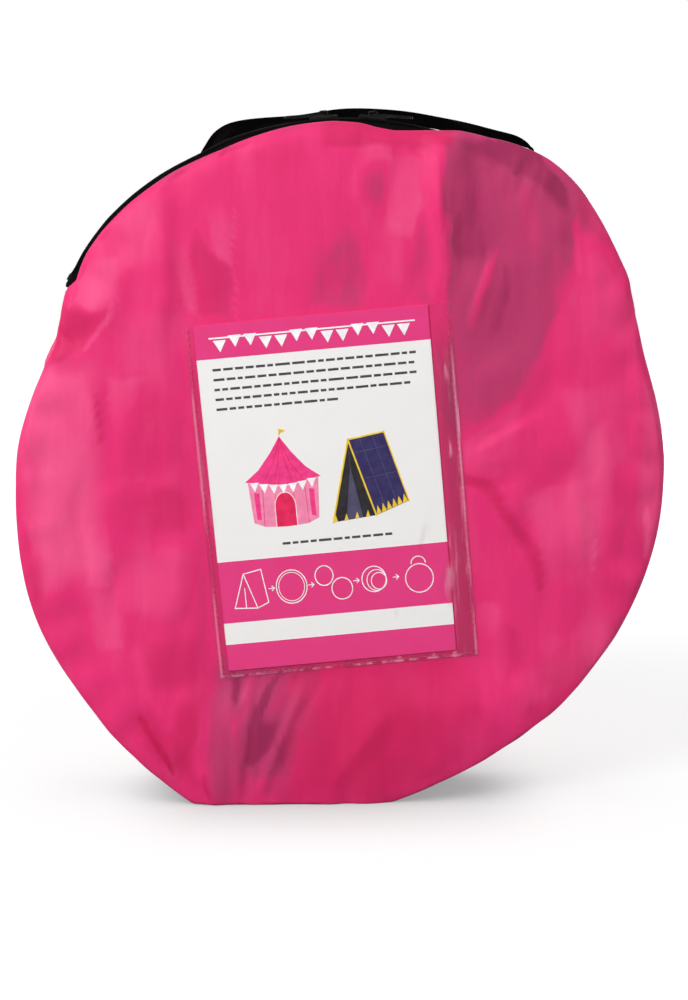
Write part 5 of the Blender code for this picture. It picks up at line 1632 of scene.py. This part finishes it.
def draw_folding_steps(pictures, v):
    """The tent, the flat hoop, the hoop twisted into two, the loops laid together and the closed bag."""
    white = pictures["white"]
    tent = [(-63, v - 10.5), (-56, v + 10.5), (-45, v + 12.5), (-42, v - 8.5), (-49, v - 11.5)]
    white += pen_line(tent + tent[:1], 0.6)
    white += pen_line([(-56, v + 10.5), (-49, v - 11.5)], 0.6)
    white += pen_line([(-56, v + 1.5), (-56, v - 11.1)], 0.5)
    for u, up, wide, high, width in (
        (-27, 0, 9.5, 10.5, 0.6), (-27, 0, 8.0, 9.0, 0.4), (-6.5, 5, 5.6, 6.2, 0.6), (4.0, -4, 6.4, 6.8, 0.6),
        (24, 0, 7.5, 8.0, 0.6), (25.6, -0.8, 6.0, 6.6, 0.5), (27, -1.4, 4.8, 5.2, 0.5),
        (52, -2, 8.6, 9.0, 0.6),
    ):
        white += pen_line(oval(u, v + up, wide, high), width, True)
    white += pen_line(oval(52, v + 7.5, 4.4, 4.2, 0, 180, 10), 0.6)
    for u in (-39.5, -15.0, 13.0, 37.5):
        white += pen_line([(u - 1.6, v), (u + 1.8, v)], 0.5)
        white += pen_line([(u + 0.4, v + 1.4), (u + 1.8, v), (u + 0.4, v - 1.4)], 0.5)


def make_card_print():
    """The printed pictures, as skins of ink a few hundredths of a millimetre thick."""
    for ink, shapes in card_pictures().items():
        colour, layer = CARD_INKS[ink]
        bm = bmesh.new()
        for shape in shapes:
            base = bm.faces.new([bm.verts.new((u * MM, 0.0, v * MM)) for u, v in shape])
            top = bmesh.ops.extrude_face_region(bm, geom=[base])["geom"]
            moved = [item for item in top if isinstance(item, bmesh.types.BMVert)]
            bmesh.ops.translate(bm, verts=moved, vec=(0.0, 1.0, 0.0))
        bmesh.ops.recalc_face_normals(bm, faces=bm.faces)
        for normal, reach in (((1.0, 0.0, 0.0), CARD_WIDTH), ((0.0, 0.0, 1.0), CARD_HEIGHT)):
            count = int(reach / 2 / 0.008)
            for k in range(-count, count + 1):
                spot = Vector(normal) * k * 0.008
                bmesh.ops.bisect_plane(
                    bm, geom=bm.verts[:] + bm.edges[:] + bm.faces[:], dist=1e-7, plane_co=spot,
                    plane_no=normal
                )
        for vert in bm.verts:
            lift = -0.00003 if vert.co.y < 0.5 else 0.00005 + 0.00002 * layer
            vert.co = on_card(vert.co.x, vert.co.z, lift)
        bmesh.ops.recalc_face_normals(bm, faces=bm.faces)
        mesh = bpy.data.meshes.new("card_ink_" + ink)
        bm.to_mesh(mesh)
        bm.free()
        piece = add_piece("card_ink_" + ink, mesh, ink_material("card_ink_" + ink, colour))
        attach(piece, "card")


def make_pocket():
    """The clear film: sewn down along both sides and the bottom, loose and crinkled between."""
    left, right = -CARD_WIDTH / 2 - POCKET_LEFT_MARGIN, CARD_WIDTH / 2 + POCKET_RIGHT_MARGIN
    bottom, top = -CARD_HEIGHT / 2 - POCKET_SEAM - 0.0003, CARD_HEIGHT / 2
    across = np.linspace(left, right, 121)
    up = np.linspace(bottom, top, 171)
    grid_u, grid_v = np.meshgrid(across, up)
    from_seam = np.minimum(np.minimum(grid_u - left, right - grid_u), grid_v - bottom)
    free = smooth_step(from_seam, 0.0015, 0.0075)
    crinkle = ripple(grid_u, grid_v * 0.35, 0.009, 51.0) + 0.6 * ripple(grid_u, grid_v * 0.5, 0.0042, 57.0)
    edge_zone = 1 - smooth_step(np.minimum(grid_u - left, right - grid_u), 0.008, 0.024)
    puff = 0.00035 + free * (
        0.0003 + 0.0004 * np.abs(ripple(grid_u, grid_v, 0.05, 44.0)) + 0.0005 * edge_zone * (0.9 + crinkle)
    )
    points = np.empty(grid_u.shape + (3,))
    for (j, i), u in np.ndenumerate(grid_u):
        v = grid_v[j, i]
        inside = float(free[j, i])
        x, depth, z = on_card(u, v, 0.00018)
        flat = CARD_BACK - 0.0001
        lift = max(puff[j, i] - 0.00035, 0.0)
        depth = flat + (depth - lift - flat) * inside
        points[j, i] = (x, depth, z)
    uv = np.stack([grid_u, grid_v], axis=-1)
    mesh = grid_mesh("pocket_film", points, uv, flip=True)
    spots = mesh_points(mesh)
    u, v = in_card_frame(spots[:, 0], spots[:, 2])
    beyond = np.maximum(np.abs(u) - CARD_WIDTH / 2, -CARD_HEIGHT / 2 - v)
    upper = 1 - 0.8 * smooth_step(v, 0.060, 0.104)
    save_shade(mesh, smooth_step(beyond, -0.0002, 0.0010) * upper * np.where(u < 0, 0.55, 1.0))
    # Two patches where the film carries painted glare, a painted reflection of the lamps.
    shine = np.maximum(
        1 - np.hypot((u - 0.036) / 0.030, (v + 0.093) / 0.016),
        1 - np.hypot((u - 0.066) / 0.014, (v + 0.050) / 0.032)
    )
    save_shade(mesh, np.clip(2 * shine, 0, 1), "glare_shade")
    from_side = np.minimum(np.minimum(u - left, right - u), v - bottom)
    save_shade(
        mesh, smooth_step(from_side, 0.0, 0.0006) * (1 - smooth_step(from_side, 0.0012, 0.0022)), "fold_shade"
    )
    film = add_piece("pocket_film", mesh, FILM)
    thicken(film, 0.00025, 1.0)
    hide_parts("clear_pocket")
    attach(film, "bag")
    inset = 0.0022
    spots = [
        (left + inset, top - 0.001), (left + inset, bottom + inset), (right - inset, bottom + inset),
        (right - inset, top - 0.001)
    ]
    routes = []
    for (u1, v1), (u2, v2) in zip(spots, spots[1:]):
        routes.append([
            Vector((*on_card(u1 + (u2 - u1) * t / 40, v1 + (v2 - v1) * t / 40)[::2], 0.0)).xzy
            + Vector((0.0, CARD_BACK - 0.0004, 0.0))
            for t in range(41)
        ])
    piece = stitches("pocket_stitches", routes, PINK_THREAD, 0.0028, 0.0012, 0.0004, front_lift)
    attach(piece, "bag")


# The folded tent inside


def pad_cloth(name, side, pleats, seed, material, node):
    """Folded tent cloth between a face of the bag and the hoops, gathered in deep soft pleats."""
    profile = smooth_route([
        (0.02, 0.0, 0.2), (0.30, 0.02, 0.6), (0.56, 0.04, 0.9), (0.76, 0.10, 1.0), (0.88, 0.22, 1.0),
        (0.95, 0.42, 0.8), (0.985, 0.70, 0.3), (0.975, 1.0, 0.0), (0.60, 1.0, 0.0), (0.05, 1.0, 0.0),
    ], 6)
    shares = np.array(profile)
    angles = 2 * pi * np.arange(240) / 240
    rim = np.array([rim_radius(angle) for angle in angles]) - 0.0065 - 0.0045 * (1 + np.sin(angles)) / 2
    radius = shares[:, :1] * rim[None, :]
    outer, inner = FACE_DEPTH - 0.0042, PACK_HALF_DEPTH + 0.0008
    twist = angles[None, :] + 0.5 * (1 - shares[:, :1]) + 0.25 * ripple(
        shares[:, :1] * 3 + 0 * radius, np.cos(angles)[None, :] * 2 + 0 * radius, 1.0, seed
    )
    fold = 0.5 + 0.5 * np.sin(pleats * twist + 2.0 * np.sin(3 * angles)[None, :])
    fine = np.abs(ripple(radius * np.cos(angles)[None, :], radius * np.sin(angles)[None, :], 0.03, seed + 3))
    dip = shares[:, 2:3] * (0.0040 * fold + 0.0030 * fine)
    tuck = np.clip(shares[:, 1:2], 0, 1)
    outside = np.clip(1 - tuck * 1.2, 0, 1)
    depth = outer - dip * outside
    depth = depth + (inner - depth) * tuck
    radius = radius - 0.0035 * fold * smooth_step(
        shares[:, :1], 0.7, 0.97
    ) * (1 - smooth_step(tuck, 0.8, 1.0))
    x = radius * np.cos(angles)[None, :]
    z = np.maximum(AXIS_HEIGHT + radius * np.sin(angles)[None, :], 0.0020 + 0.001 * fold)
    points = np.stack([x, side * depth, z], axis=-1)
    uv = np.stack([x, z], axis=-1)
    mesh = grid_mesh(name, points, uv, closed=True, flip=side > 0)
    close_mesh(mesh)
    spots = mesh_points(mesh)
    save_shade(mesh, 0.6 * smooth_step(ripple(spots[:, 0], spots[:, 2], 0.05, seed + 6), -0.2, 0.6))
    pad = add_piece(name, mesh, material)
    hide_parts(node)
    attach(pad, "bag")


def make_wall_bundle():
    """The walls' cloth, gathered inside the hoops round the bundle of poles."""
    outer_reach = PACK_RADIUS - 0.0052 - 0.0016 - 0.0020
    centre_z = AXIS_HEIGHT - PACK_DROP
    half_long, half_high = 0.1255, 0.0199
    angles = 2 * pi * np.arange(288) / 288
    window = np.minimum(
        half_long / np.maximum(np.abs(np.cos(angles)), 1e-6),
        half_high / np.maximum(np.abs(np.sin(angles)), 1e-6)
    ) + 0.0006
    gather = 0.5 + 0.5 * np.sin(26 * angles + 1.7 * np.sin(5 * angles))
    rows = []
    loop = smooth_route([
        (0.0, -0.92, 0.0), (0.03, -1.0, 0.4), (0.30, -0.97, 1.0), (0.70, -0.97, 1.0), (0.96, -0.92, 0.5),
        (1.0, -0.75, 0.0),
        (1.0, 0.0, 0.0), (1.0, 0.75, 0.0), (0.96, 0.92, 0.5), (0.70, 0.97, 1.0), (0.30, 0.97, 1.0),
        (0.03, 1.0, 0.4),
        (0.0, 0.92, 0.0), (0.0, 0.0, 0.0), (0.0, -0.92, 0.0),
    ], 4)[:-1]
    for share, depth_share, pleat in loop:
        share = min(max(share, 0.0), 1.0)
        reach = window + (outer_reach - 0.0022 * gather - window) * share
        depth = np.clip(depth_share, -1, 1) * (PACK_HALF_DEPTH - 0.0006) * (1 - 0.14 * pleat * gather)
        rows.append(
            np.stack([reach * np.cos(angles), depth + 0 * reach, centre_z + reach * np.sin(angles)], axis=-1)
        )
    rows.append(rows[0])
    points = np.array(rows)
    uv = np.stack([points[:, :, 0], points[:, :, 2]], axis=-1)
    mesh = grid_mesh("folded_wall_bundle", points, uv, closed=True)
    close_mesh(mesh)
    spots = mesh_points(mesh)
    save_shade(mesh, 0.5 * smooth_step(ripple(spots[:, 0], spots[:, 2], 0.03, 12.0), -0.2, 0.6))
    bundle = add_piece("folded_wall_bundle", mesh, PALE)
    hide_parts("folded_wall_cloth")
    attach(bundle, "bag")


def finish_carried_nodes():
    """Gives the solids whose shape is right their real finish."""
    finishes = {
        "zip_tape_front": ZIP, "zip_tape_rear": ZIP, "zip_stop_left": LACQUER, "zip_stop_right": LACQUER,
        "zip_slider_left": LACQUER, "zip_slider_right": LACQUER,
        "zip_pull_left": LACQUER, "zip_pull_right": LACQUER,
        "eave_hoop": SPRING, "floor_hoop": SPRING, "eave_hoop_ferrule": CHROME, "floor_hoop_ferrule": CHROME,
    }
    for number in range(1, 5):
        for section in ("lower", "middle", "upper"):
            finishes[f"wall_pole_{number}_{section}"] = TUBE
    for name, material in finishes.items():
        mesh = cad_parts[name].data
        mesh.materials.clear()
        mesh.materials.append(material)


# The room and the camera


def make_room():
    """A pale floor with a painted contact shadow and the lamps' shadows, an even white sky and soft lamps."""
    across = np.linspace(-4.0, 4.0, 9)
    along = np.linspace(-3.0, 9.0, 13)
    points = np.array([[(x, y, 0.0) for x in across] for y in along])
    room = add_piece("floor", grid_mesh("floor", points, points[:, :, :2]), floor_material())
    world = bpy.data.worlds.new("soft_room")
    world.use_nodes = True
    recipe = Recipe(world.node_tree)
    seen = recipe.seen()
    strength = recipe.fit(seen, 0.0, 1.0, SKY_LEVEL, 1.0)
    background = world.node_tree.nodes["Background"]
    background.inputs["Color"].default_value = (1.0, 1.0, 1.0, 1.0)
    world.node_tree.links.new(strength, background.inputs["Strength"])
    bpy.context.scene.world = world
    for name, place, target, size, power, shadow in (
        ("key_lamp", (-1.5, -1.6, 1.5), (0.0, 0.0, 0.2), 1.2, 58.0, True),
        ("fill_lamp", (1.6, -1.4, 0.9), (0.0, 0.0, 0.2), 1.1, 11.0, True),
        ("top_lamp", (0.0, 0.2, 2.0), (0.0, 0.0, 0.1), 1.0, 4.0, True),
        ("back_lamp", (0.8, 2.3, 0.45), (0.0, 0.0, 0.2), 1.2, 32.0, False),
    ):
        lamp = bpy.data.lights.new(name, "AREA")
        lamp.use_shadow = shadow
        lamp.size = size
        lamp.energy = power
        obj = bpy.data.objects.new(name, lamp)
        bpy.context.scene.collection.objects.link(obj)
        obj.location = place
        obj.rotation_euler = (Vector(target) - Vector(place)).to_track_quat("-Z", "Y").to_euler()


def make_camera():
    """The photograph's viewpoint: about a metre away, a little above the middle of the bag."""
    distance, height_angle, side_angle = 1.0, radians(8.0), radians(1.0)
    target = Vector((-0.0024, 0.0, 0.1869))
    back = Vector(
        (-sin(side_angle) * cos(height_angle), -cos(side_angle) * cos(height_angle), sin(height_angle))
    )
    data = bpy.data.cameras.new("camera")
    data.lens = 56.7
    data.sensor_width = 36.0
    data.clip_start = 0.01
    camera = bpy.data.objects.new("camera", data)
    bpy.context.scene.collection.objects.link(camera)
    camera.location = target + back * distance
    camera.rotation_euler = (-back).to_track_quat("-Z", "Y").to_euler()
    bpy.context.scene.camera = camera


make_front_cloth()
make_back_cloth()
make_side_bands()
make_seams()
make_tape_edge()
make_zip_backing()
make_handle()
make_handle_stitches()
make_card()
make_card_print()
make_pocket()
pad_cloth("folded_roof_bundle", -1, 22, 5.0, PALE, "folded_roof_cloth")
pad_cloth("folded_ground_bundle", 1, 16, 8.0, WHITE, "folded_ground_sheet")
make_wall_bundle()
finish_carried_nodes()
make_room()
make_camera()
bpy.context.scene.view_settings.view_transform = "Standard"
